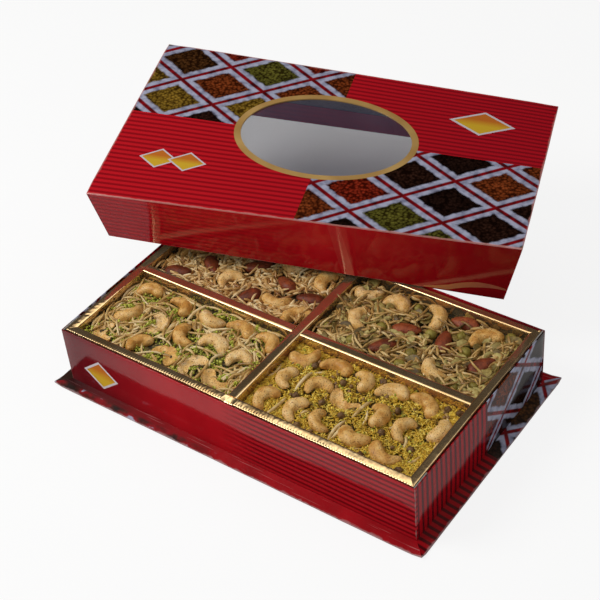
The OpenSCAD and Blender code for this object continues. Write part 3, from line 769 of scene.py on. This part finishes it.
def stick_shape(sides, steps, length, thick, bend, wave):
    """Mesh of a curled stick along X, with its middle at the origin."""
    tube = bmesh.new()
    bmesh.ops.create_cone(tube, cap_ends=True, segments=sides, radius1=1, radius2=1, depth=1,
                          matrix=Matrix.Rotation(math.pi / 2, 4, "Y"))
    run = [e for e in tube.edges if abs(e.verts[0].co.x - e.verts[1].co.x) > 0.5]
    bmesh.ops.subdivide_edges(tube, edges=run, cuts=steps - 1)
    for vert in tube.verts:
        share, side, up = vert.co
        taper = (1 - 0.55 * abs(2 * share) ** 5) * thick / 2
        turn = bend * share
        middle = Vector((share, 0, 0)) if abs(bend) < 0.05 else Vector(
            (math.sin(turn) / bend, (1 - math.cos(turn)) / bend - bend / 24, 0))
        across = Vector((-math.sin(turn), math.cos(turn), 0))
        lift = Vector((0, 0, wave * math.cos(5.5 * share)))
        vert.co = (middle + lift) * length + across * side * taper + Vector((0, 0, up * taper))
    bmesh.ops.recalc_face_normals(tube, faces=tube.faces)
    return small_mesh(tube)


def fried(name, stops, scale, roughness):
    """Fried surface: a tone for each piece, shaded along it, with small blisters."""
    made, add, shader = new_material(name, Roughness=roughness)
    place = add("TexCoord", out=3)
    tone = add("Attribute", out=2, attribute_name=TONE)
    patch = add("TexNoise", Vector=place, Scale=1 / scale)
    shift = add("MapRange", patch, 0.3, 0.7, -0.22, 0.22)
    colour = add("ValToRGB", add("ADD", tone, shift), stops=stops)
    blister = add("TexNoise", Vector=place, Scale=1 / (0.8 * MM))
    coat(shader, colour, add("Bump", Height=blister, Strength=0.5, Distance=0.15 * MM))
    return made


def free_spot(name, points, thick, overlap):
    """True if the points of a loose piece are in their compartment and clear of its nuts."""
    low_x, low_y = CORNERS[name]
    for point in points:
        if not (low_x + 1.2 * MM < point.x < low_x + CELL_L - 1.2 * MM
                and low_y + 1.2 * MM < point.y < low_y + CELL_W - 1.2 * MM):
            return False
        for middle, radius in obstacles[name]:
            if (point - middle).length < radius * overlap + thick / 2:
                return False
    return True


def strew(pile, name, shapes, count, rng, layer, pitch, overlap, tones, reach):
    """Strews loose pieces over a bed: count of them, at heights from the bed to a layer."""
    low_x, low_y = CORNERS[name]
    laid = 0
    for _ in range(count * 12):
        if laid == count:
            break
        x, y = [low + size * (0.5 - 0.5 * math.cos(math.pi * rng.random()))
                for low, size in ((low_x, CELL_L), (low_y, CELL_W))]
        turn = rng.uniform(0, 2 * math.pi)
        shape, thick = rng.choice(shapes)
        place = (Matrix.Translation((x, y, bed_height(x, y) + thick / 2 + layer * rng.random()))
                 @ Matrix.Rotation(turn, 4, "Z")
                 @ Matrix.Rotation(rng.gauss(0, pitch), 4, "Y")
                 @ Matrix.Rotation(rng.uniform(-0.9, 0.9), 4, "X"))
        if reach:
            points = [place @ Vector((reach * k / 2, 0, 0)) for k in range(-2, 3)]
        else:
            points = [place.translation]
        if free_spot(name, points, thick, overlap):
            lay(pile, shape, place, rng.uniform(*tones))
            laid += 1


pale_stick = fried("potato_stick_fried_pale", [
    (0.0, "#6A4A1E"), (0.3, "#987238"), (0.55, "#BE9854"), (0.8, "#D4B67A"), (1.0, "#E6CE9C")],
    6 * MM, 0.4)
golden_stick = fried("potato_stick_fried_golden", [
    (0.0, "#5E3816"), (0.3, "#94622A"), (0.55, "#BE9250"), (0.8, "#D4B074"), (1.0, "#E4CC9C")],
    6 * MM, 0.4)
SHORT_STICKS = [(stick_shape(6, 4, length * MM, thick * MM, bend, wave), thick * MM)
                for length, thick, bend, wave in (
                    (10, 2.1, 0.5, 0.02), (13, 1.9, 1.1, 0.03), (8, 2.4, 0.2, 0.0),
                    (15, 1.8, 0.8, 0.05), (11, 2.2, -0.6, 0.04), (9, 2.0, 1.4, 0.02))]
THIN_STICKS = [(stick_shape(6, 5, length * MM, thick * MM, bend, wave), thick * MM)
               for length, thick, bend, wave in (
                   (19, 1.8, 1.0, 0.05), (24, 1.7, 0.6, 0.04), (16, 2.0, 1.7, 0.03),
                   (22, 1.6, -1.3, 0.06), (14, 1.9, 0.4, 0.02))]
LONG_STICKS = [(stick_shape(8, 8, length * MM, 2.3 * MM, bend, wave), 2.3 * MM)
               for length, bend, wave in ((20, 0.35, 0.02), (21, -0.5, 0.03), (20, 0.7, 0.02))]
for name, material, shapes, count, layer, pitch, tones in (
        ("green_mix", pale_stick, THIN_STICKS, 300, 2.4 * MM, 0.16, (0.35, 1.0)),
        ("yellow_mix", pale_stick, SHORT_STICKS, 14, 2.0 * MM, 0.1, (0.5, 1.0)),
        ("stick_mix", golden_stick, SHORT_STICKS, 1050, 3.2 * MM, 0.26, (0.3, 1.0)),
        ("flake_mix", pale_stick, SHORT_STICKS + THIN_STICKS, 560, 3.6 * MM, 0.24,
         (0.05, 0.8))):
    rng = random.Random("sticks of " + name)
    pile = bmesh.new()
    for middle, first, second in separate_solids(name + "_sticks"):
        chord = second - first
        turn = math.atan2(chord.y, chord.x)
        shape, thick = rng.choice(LONG_STICKS)
        place = (Matrix.Translation(middle + Vector((0, 0, 0.8 * MM)))
                 @ Matrix.Rotation(turn, 4, "Z") @ Matrix.Rotation(rng.uniform(-1, 1), 4, "X"))
        lay(pile, shape, place, rng.uniform(*tones))
    strew(pile, name, shapes, count, rng, layer, pitch, 0.62, tones, 8 * MM)
    finish_piece(pile, name + "_potato_sticks", [material], "tray", "potato_stick",
                 [name + "_sticks"])

# Loose crumbs, noodles and flakes on the mixes.
# Bright green fried crumbs, fine curled gram-flour noodles, and thin olive flakes of pressed
# rice and lentils. They lie between the nuts and hide most of each bed.


green_crumb = fried("green_crumb_fried", [
    (0.0, "#78761A"), (0.4, "#A0A42C"), (0.7, "#BCC042"), (1.0, "#D4D468")], 3 * MM, 0.6)
ball = bmesh.new()
bmesh.ops.create_icosphere(ball, subdivisions=1, radius=1)
crumb_mesh = small_mesh(ball)


def crumb_clusters(pile, name, clusters, each, rng, spread, sizes, heaped, tones):
    """Strews crumbs in loose clusters, heaped up as they fall between larger pieces."""
    low_x, low_y = CORNERS[name]
    for _ in range(clusters):
        middle_x = low_x + CELL_L * rng.uniform(0.02, 0.98)
        middle_y = low_y + CELL_W * rng.uniform(0.02, 0.98)
        for _ in range(rng.randint(each // 2, each)):
            x = rng.gauss(middle_x, spread)
            y = rng.gauss(middle_y, spread)
            size = rng.uniform(*sizes)
            heap = heaped * math.exp(-((x - middle_x) ** 2 + (y - middle_y) ** 2)
                                       / (spread * spread))
            place = (Matrix.Translation((x, y, bed_height(x, y) + size * 0.6 + heap))
                     @ Euler([rng.uniform(0, 6.28) for _ in range(3)]).to_matrix().to_4x4()
                     @ Matrix.Diagonal((size * rng.uniform(0.8, 1.5), size,
                                        size * rng.uniform(0.5, 1), 1)))
            if free_spot(name, [place.translation], size, 0.9):
                lay(pile, crumb_mesh, place, rng.uniform(*tones))


for name, material, clusters, each, spread, sizes, heaped in (
        ("green_mix", green_crumb, 210, 46, 3.4 * MM, (0.45 * MM, 0.95 * MM), 3.6 * MM),
        ("yellow_mix", green_crumb, 46, 6, 2.2 * MM, (0.6 * MM, 1.2 * MM), 3.6 * MM),
        ("yellow_mix", pepper_skin, 40, 5, 4.0 * MM, (0.9 * MM, 1.9 * MM), 3.2 * MM)):
    pile = bmesh.new()
    label = "_green_crumbs" if material is green_crumb else "_brown_crumbs"
    crumb_clusters(pile, name, clusters, each, random.Random(label + name), spread, sizes,
                   heaped, (0.1, 1.0))
    finish_piece(pile, name + label, [material], "tray", name, [])

yellow_noodle = fried("gram_noodle_fried", [
    (0.0, "#A27A1C"), (0.4, "#D0A62C"), (0.7, "#E8C43E"), (1.0, "#F2DA68")], 5 * MM, 0.55)
NOODLES = [(stick_shape(3, 3, length * MM, 1.0 * MM, bend, 0.05), 1.0 * MM)
           for length, bend in ((3.4, 1.8), (4.6, 2.6), (2.6, 0.9), (4, -2.1), (5.4, 3.2))]
pile = bmesh.new()
strew(pile, "yellow_mix", NOODLES, 8600, random.Random("noodles"), 2.0 * MM, 0.4, 0.86,
      (0.1, 1.0), 0)
finish_piece(pile, "yellow_mix_noodles", [yellow_noodle], "tray", "yellow_mix", [])

olive_flake = fried("rice_flake_fried", [
    (0.0, "#503C1A"), (0.35, "#7C6830"), (0.65, "#9C8846"), (1.0, "#BCAC68")], 2.0 * MM, 0.55)


def flake_shape(length, width, cup, seed):
    """Mesh of a thin, cupped flake with an uneven rim."""
    flake = bmesh.new()
    bmesh.ops.create_uvsphere(flake, u_segments=12, v_segments=6, radius=1)
    for vert in flake.verts:
        x, y, z = vert.co
        rim = 1 + 0.18 * noise.noise(Vector((x * 1.5, y * 1.5, seed)))
        vert.co = (x * length / 2 * rim, y * width / 2 * rim,
                   z * 0.85 * MM + cup * (x * x + 0.5 * y * y))
    return small_mesh(flake)


FLAKES = [(flake_shape(length * MM, width * MM, cup * MM, seed), 1.7 * MM)
          for length, width, cup, seed in (
              (10, 9, 1.0, 0.5), (12, 8, 1.4, 3.5), (9, 8, 0.8, 6.5), (12, 9, -1.2, 9.5),
              (8, 7, 0.8, 12.5))]
pile = bmesh.new()
strew(pile, "flake_mix", FLAKES, 230, random.Random("flakes"), 3.0 * MM, 0.3, 0.75,
      (0.0, 1.0), 4 * MM)
finish_piece(pile, "flake_mix_flakes", [olive_flake], "tray", "flake_mix", [])

# Lid: top panel, four walls, hems, corner tabs and window film.
# One folded board, printed and laminated like the base and bare grey inside, with a hem
# turned in along its rim. It is a little twisted, as a light lid is when it isn't on its box.

LID_H = 48.5 * MM
PANEL_T = 1.2 * MM
LID_WALL_T = 1.0 * MM
HEM_H = 15 * MM
HEM_T = 0.8 * MM
RIM_HALF_L = 147 * MM
RIM_HALF_W = 86 * MM
TOP_HALF_L = 157 * MM
TOP_HALF_W = 92 * MM
TWIST = 5.3 * MM
WINDOW_HALF_L = 64.5 * MM
WINDOW_HALF_W = 47 * MM
WINDOW_U = -4.5 * MM
WINDOW_V = 6.5 * MM
RING_WIDE = 5 * MM
FILM_LAP = 14 * MM
FILM_T = 0.3 * MM
LID_TAB_L = 18 * MM
LID_AT = Vector((-62.7, 132.5, 58.4)) * MM
LID_TURN = Euler([math.radians(angle) for angle in (1.81, 3.31, 19.61)])
LID_PLACE = Matrix.Translation(LID_AT) @ LID_TURN.to_matrix().to_4x4()
LID_PITCH = 4.8 * MM


def on_lid(u, v, z):
    """Point of the twisted lid from its place on the flat one."""
    return Vector((u, v, z - TWIST * (u / TOP_HALF_L) * (v / TOP_HALF_W) * (z / LID_H)))


def lid_side(turned, along, inset, z, end_inset, depth=0.0):
    """Point of a side of the lid, 0 front, 1 right, 2 back, 3 left, drawn in by an inset."""
    lean = z / LID_H
    half_l = RIM_HALF_L + (TOP_HALF_L - RIM_HALF_L) * lean
    half_w = RIM_HALF_W + (TOP_HALF_W - RIM_HALF_W) * lean
    half, across = (half_l, half_w) if turned % 2 == 0 else (half_w, half_l)
    run = 2 * along * (half - end_inset)
    out = across - inset + depth * wall_bulge(along, lean - 0.5, turned * 4.9)
    u, v = ((run, -out), (out, run), (-run, out), (-out, -run))[turned]
    return on_lid(u, v, z)


def lid_sheet(name, cuts, shape, materials, slot, replaced, thickness, inner=0):
    """Sheet of board on the lid, given its thickness inwards, with its inside unprinted."""
    sheet = bmesh.new()
    bmesh.ops.create_grid(sheet, x_segments=cuts[0], y_segments=cuts[1], size=0.5)
    for vert in sheet.verts:
        vert.co = shape(vert.co.x, vert.co.y)
    return lid_board(sheet, name, materials, slot, replaced, thickness, inner)


def lid_board(sheet, name, materials, slot, replaced, thickness, inner):
    """Sets a sheet down with the lid, faces outwards, and gives it its thickness."""
    sheet.normal_update()
    face = max(sheet.faces, key=lambda f: f.calc_area())
    if face.normal.dot(face.calc_center_median() - Vector((0, 0, LID_H / 3))) < 0:
        bmesh.ops.reverse_faces(sheet, faces=sheet.faces)
    bmesh.ops.transform(sheet, matrix=LID_PLACE, verts=sheet.verts)
    piece = finish_piece(sheet, name, materials, "lid", slot, replaced)
    board = piece.modifiers.new("board", "SOLIDIFY")
    board.thickness = thickness
    board.offset = -1
    board.use_even_offset = True
    board.material_offset = inner
    return sharpen(piece)


def lid_places(add):
    """The place on the lid, and its parts along and across the lid and up from its rim."""
    place = add("Mapping", Vector=add("TexCoord", out=3), Location=LID_AT, Rotation=LID_TURN,
                vector_type="TEXTURE")
    return place, *add("SeparateXYZ", place).node.outputs


# Top print: pinstripes on two quarters, the lozenge print on the other two, a gold ring
# round the window and plain ochre labels
lid_top_print, add, shader = new_material("red_print_laminated_lid_top", **GLOSSY_FILM)
place, u, v, _ = lid_places(add)
line = stripes(add, v, LID_PITCH)
# Painted light: the pinstripes are lighter towards the left of the top and darker towards its
# right.
lined = add("MixRGB", add("MapRange", u, -80 * MM, 120 * MM),
            add("MixRGB", line, "#BE1822", "#8E0E18"), add("MixRGB", line, "#AE1320", "#820E19"))
picture = lozenge_print(add, u, v, 66 * MM, 50 * MM)
quarter = add("MULTIPLY", add("ADD", u, 2 * MM), add("SUBTRACT", v, 5 * MM))
printed = add("MixRGB", add("LESS_THAN", quarter, 0.0), lined, picture)
for middle, halves in (((105 * MM, 51 * MM), (25 * MM, 16 * MM)),
                       ((-118 * MM, -45 * MM), (15 * MM, 11 * MM)),
                       ((-96 * MM, -45 * MM), (15 * MM, 11 * MM))):
    fade = (middle[1] - 0.2 * halves[1], middle[1] + 0.3 * halves[1])
    printed = with_label(add, printed, (u, v), middle, halves, fade, 0.86, "#C9C0C6")
off = [add("POWER", add("MULTIPLY", add("SUBTRACT", value, at), 1 / half), 2.0)
       for value, at, half in ((u, WINDOW_U, WINDOW_HALF_L + RING_WIDE),
                               (v, WINDOW_V, WINDOW_HALF_W + RING_WIDE))]
in_ring = add("LESS_THAN", add("ADD", *off), 1.0)
cloud = add("TexNoise", Vector=place, Scale=1 / (30 * MM))
gold_ink = add("ValToRGB", cloud, stops=[(0.3, "#A27C46"), (0.7, "#BE9A5E")])
printed = add("MixRGB", in_ring, printed, gold_ink)
offs = [add("SUBTRACT", half, add("ABSOLUTE", value))
        for half, value in ((TOP_HALF_L, u), (TOP_HALF_W, v))]
worn = rubbed(add, place, add("MINIMUM", *offs), 9 * MM, (0.38, 0.7, 0.7 * MM, 2.0 * MM), 0.9)
laminate(add, shader, place, add("MixRGB", worn, printed, "#CC8A84"))

# Side print: deep red with faint pinstripes on the left and a lighter band across the front,
# a tapered copper swoosh low on the right, and pinstripes on the short sides
lid_side_print, add, shader = new_material("red_print_laminated_lid_side", **GLOSSY_FILM)
place, u, _, z = lid_places(add)
cloud = add("TexNoise", Vector=place, Scale=1 / (60 * MM))
plain = add("ValToRGB", cloud, stops=[(0.35, "#A60E19"), (0.65, "#B8121E")])
# Painted shade: the plain red darkens towards the right end of the lid.
plain = add("MixRGB", add("MapRange", u, 20 * MM, 150 * MM), plain, "#7A080F")
band_at = add("ADD", add("MULTIPLY", z, 0.2), u)
band_off = add("ABSOLUTE", add("SUBTRACT", band_at, 36 * MM))
band = add("LESS_THAN", band_off, 4.5 * MM)
front = add("MixRGB", band, plain, "#B4282A")
faint = add("MULTIPLY", add("MapRange", u, -90 * MM, 15 * MM, 0.5, 0.0), stripes(add, z, 3.8 * MM))
front = add("MixRGB", faint, front, "#5E0810")
crest = add("MULTIPLY", add("POWER", add("SUBTRACT", u, 136 * MM), 2.0), -9.6)
middle = add("MAXIMUM", add("ADD", crest, 11.6 * MM),
             add("MapRange", u, 92 * MM, 108 * MM, 1.2 * MM, 4.0 * MM))
half = add("MINIMUM", add("MapRange", u, 90 * MM, 108 * MM, 0.2 * MM, 2.7 * MM),
           add("MapRange", u, 128 * MM, 152 * MM, 2.7 * MM, 0.5 * MM))
swoosh = add("LESS_THAN", add("ABSOLUTE", add("SUBTRACT", z, middle)), half)
swoosh = add("MULTIPLY", swoosh, add("GREATER_THAN", u, 90 * MM))
copper = add("MixRGB", add("MapRange", u, 100 * MM, 135 * MM), "#C08050", "#A05A42")
front = add("MixRGB", swoosh, front, copper)
lined = add("MixRGB", stripes(add, z, LID_PITCH), "#A4141E", "#7C0E17")
lean = add("MULTIPLY", z, (TOP_HALF_L - RIM_HALF_L) / LID_H)
on_short = add("GREATER_THAN", add("SUBTRACT", add("ABSOLUTE", u), lean), RIM_HALF_L - 1.2 * MM)
printed = add("MixRGB", on_short, front, lined)
worn = rubbed(add, place, z, 7 * MM, (0.45, 0.75, 0.05 * MM, 1.2 * MM), 0.7)
laminate(add, shader, place, add("MixRGB", worn, printed, "#A8807A"))

panel = bmesh.new()
PANEL_STEPS = 96
hole = bmesh.ops.create_circle(panel, segments=PANEL_STEPS, radius=1)["verts"]
rim = bmesh.ops.create_circle(panel, segments=PANEL_STEPS, radius=1)["verts"]
for vert in hole:
    vert.co = (WINDOW_U + vert.co.x * WINDOW_HALF_L,
               WINDOW_V + vert.co.y * WINDOW_HALF_W, LID_H)
for vert in rim:
    square = max(abs(vert.co.x), abs(vert.co.y))
    vert.co = (vert.co.x / square * TOP_HALF_L, vert.co.y / square * TOP_HALF_W, LID_H)
bmesh.ops.bridge_loops(panel, edges=panel.edges[:])
across = [e for e in panel.edges if not e.is_boundary]
bmesh.ops.subdivide_edges(panel, edges=across, cuts=9)
outer = [e for e in panel.edges if e.is_boundary
         and max(abs(e.verts[0].co.x) / TOP_HALF_L, abs(e.verts[0].co.y) / TOP_HALF_W) > 0.99]
skirt = bmesh.ops.extrude_edge_only(panel, edges=outer)
for item in skirt["geom"]:
    if isinstance(item, bmesh.types.BMVert):
        item.co.z -= PANEL_T
        item.co.x *= 0.9985
        item.co.y *= 0.9985
bmesh.ops.bevel(panel, geom=outer, offset=0.8 * MM, affect="EDGES", segments=3, profile=0.5,
                material=-1)
for vert in panel.verts:
    u, v, z = vert.co
    sag = 0.9 * MM * noise.noise(Vector((u * 12, v * 12, 2.2)))
    edge = min(1 - abs(u) / TOP_HALF_L, 1 - abs(v) / TOP_HALF_W)
    vert.co = on_lid(u, v, z + sag * min(1.0, edge * 5))
lid_board(panel, "lid_top_panel_board", [lid_top_print, greyboard], "lid_red",
          ["lid_top_panel"], LID_WALL_T, 1)

for turned, side in enumerate(("front", "right", "back", "left")):
    ends = 0.0 if turned % 2 == 0 else LID_WALL_T
    lid_sheet("lid_" + side + "_wall_board", (40, 10), lambda along, up: lid_side(
        turned, along, 0.0, (LID_H - PANEL_T) * (up + 0.5), ends, 0.7 * MM),
        [lid_side_print, greyboard], "lid_red", ["lid_" + side + "_wall"], LID_WALL_T, 1)
    lid_sheet("lid_" + side + "_hem_board", (40, 3), lambda along, up: lid_side(
        turned, along, LID_WALL_T, HEM_H * (up + 0.5), ends + LID_WALL_T, 0.7 * MM),
        [lid_side_print], "hem_red", ["lid_" + side + "_hem"], HEM_T)

tabs = bmesh.new()
for mirror_u in (-1, 1):
    for mirror_v in (-1, 1):
        tab = bmesh.ops.create_grid(tabs, x_segments=4, y_segments=4, size=0.5)["verts"]
        for vert in tab:
            z = HEM_H + (LID_H - PANEL_T - HEM_H) * (vert.co.y + 0.5)
            lean = z / LID_H
            u = RIM_HALF_L + (TOP_HALF_L - RIM_HALF_L) * lean - LID_WALL_T
            v = RIM_HALF_W + (TOP_HALF_W - RIM_HALF_W) * lean - LID_WALL_T
            vert.co = on_lid(mirror_u * u, mirror_v * (v - LID_TAB_L * (vert.co.x + 0.5)), z)
        faces = {f for vert in tab for f in vert.link_faces}
        tabs.normal_update()
        inward = [f for f in faces if f.normal.x * mirror_u < 0]
        bmesh.ops.reverse_faces(tabs, faces=inward)
lid_board(tabs, "lid_corner_tabs_board", [greyboard], "grey_board", ["lid_corner_tabs"],
          HEM_T, 0)

# Window film: grey-tinted polypropylene sheet, a little hazy, glued inside the panel. The grey
# tint is painted shade, darkening the table seen through the window.
window_sheet, add, shader = new_material(
    "window_film_grey_painted_shade", Roughness=0.06, IOR=1.49, Alpha=0.32)
place, *_ = lid_places(add)
cloud = add("TexNoise", Vector=place, Scale=1 / (35 * MM))
colour = add("ValToRGB", cloud, stops=[(0.3, "#47475A"), (0.7, "#565669")])
slack = add("TexNoise", Vector=place, Scale=1 / (50 * MM))
coat(shader, colour, add("Bump", Height=slack, Strength=0.4, Distance=0.8 * MM))
lid_sheet("window_film_sheet", (24, 18), lambda along, up: on_lid(
    WINDOW_U + 2 * along * (WINDOW_HALF_L + FILM_LAP),
    WINDOW_V + 2 * up * (WINDOW_HALF_W + FILM_LAP), LID_H - PANEL_T),
    [window_sheet], "clear_film", ["window_film"], FILM_T)

# Studio: a pale table, a soft light overhead and from the left, and the camera. Gold and
# gloss see a dark room with one large soft box overhead, and painted shade on the table
# near the box, which only they see.

SHADE_REACH = 24 * MM
studio_floor, add, shader = new_material("table_pale_card", Roughness=0.8)
tree = studio_floor.node_tree
place = add("TexCoord", out=3)
cloud = add("TexNoise", Vector=place, Scale=3.0)
tree.links.new(add("ValToRGB", cloud, stops=[(0.3, "#F0F0EE"), (0.7, "#F4F4F2")]),
               shader.inputs["Base Color"])
output = next(n for n in tree.nodes if n.type == "OUTPUT_MATERIAL")
seen = add("SUBTRACT", add("LightPath"), add("LightPath", out="Transparent Depth"), use_clamp=True)
glow = add("MULTIPLY", seen, 0.85)
x, y, _ = add("SeparateXYZ", place).node.outputs
outside = [add("SUBTRACT", add("ABSOLUTE", part), half)
           for part, half in ((x, BASE_HALF_L - 14 * MM), (y, BASE_HALF_W))]
# Painted shade: glossy rays see a dark emission on the table within SHADE_REACH of the box.
painted_shade_near_box = add("MapRange", add("MAXIMUM", *outside), SHADE_REACH, SHADE_REACH + 1 * MM, 1.0, 0.0)
painted_shade_near_box = add("MULTIPLY", painted_shade_near_box, add("LightPath", out=3))
card = add("MixShader", glow, shader.outputs[0], add("Emission", "#FFFFFF", 1.0))
tree.links.new(add("MixShader", painted_shade_near_box, card, add("Emission", "#140C0C", 1.0)), output.inputs[0])
table = bmesh.new()
bmesh.ops.create_grid(table, x_segments=8, y_segments=8, size=4)
mesh = bpy.data.meshes.new("studio_table")
table.to_mesh(mesh)
table.free()
mesh.materials.append(studio_floor)
floor = bpy.data.objects.new("studio_table", mesh)
bpy.context.scene.collection.objects.link(floor)

world = bpy.data.worlds.new("studio")
bpy.context.scene.world = world
world.use_nodes = True
world.node_tree.nodes.clear()
add = functools.partial(add_node, world.node_tree)
up = add("SeparateXYZ", add("TexCoord"), out=2)
dome = add("ValToRGB", up, stops=[(0.0, "#B8B8B8"), (0.3, "#787878"), (0.6, "#8A8A8A"),
                                  (1.0, "#D8D8D8")])
room = add("ValToRGB", up, stops=[(0.0, "#8C8884"), (0.25, "#2E211A"), (0.7, "#241812"),
                                  (1.0, "#241812")])
glossy = add("LightPath", out=3)
surround = add("MixRGB", add("LightPath"), add("MixRGB", glossy, dome, room), "#FFFFFF")
in_box = add("MULTIPLY", add("ValToRGB", up, stops=[(0.745, "#000000"), (0.866, "#FFFFFF"),
                                                    (0.92, "#FFFFFF"), (0.97, "#9C9C9C")]), glossy)
add("OutputWorld", add("MixShader", in_box, add("Background", surround, 0.9),
                       add("Background", "#FFF6E8", 2.1)))

for name, energy, size, at in (
        ("key", 12.0, 0.8, (-0.8, -0.6, 1.05)), ("fill", 2.5, 1.2, (0.9, -0.9, 0.9))):
    lamp = bpy.data.lights.new(name, "AREA")
    lamp.energy = energy
    lamp.shape = "DISK"
    lamp.size = size
    lit = bpy.data.objects.new(name, lamp)
    lit.matrix_world = (Matrix.Translation(at) @ (Vector((-0.03, 0.05, 0.05)) - Vector(at))
                        .to_track_quat("-Z", "Y").to_matrix().to_4x4())
    bpy.context.scene.collection.objects.link(lit)

lens = bpy.data.cameras.new("camera")
lens.lens = 84.99
lens.sensor_width = 36
lens.clip_start = 0.01
camera = bpy.data.objects.new("camera", lens)
camera.matrix_world = Matrix((
    (0.81695, -0.32413, 0.47701, 0.45921),
    (0.57202, 0.56071, -0.59866, -0.57160),
    (-0.07342, 0.76193, 0.64348, 0.69257),
    (0, 0, 0, 1)))
bpy.context.scene.collection.objects.link(camera)
bpy.context.scene.camera = camera
bpy.context.scene.view_settings.view_transform = "Standard"

bpy.context.view_layer.update()
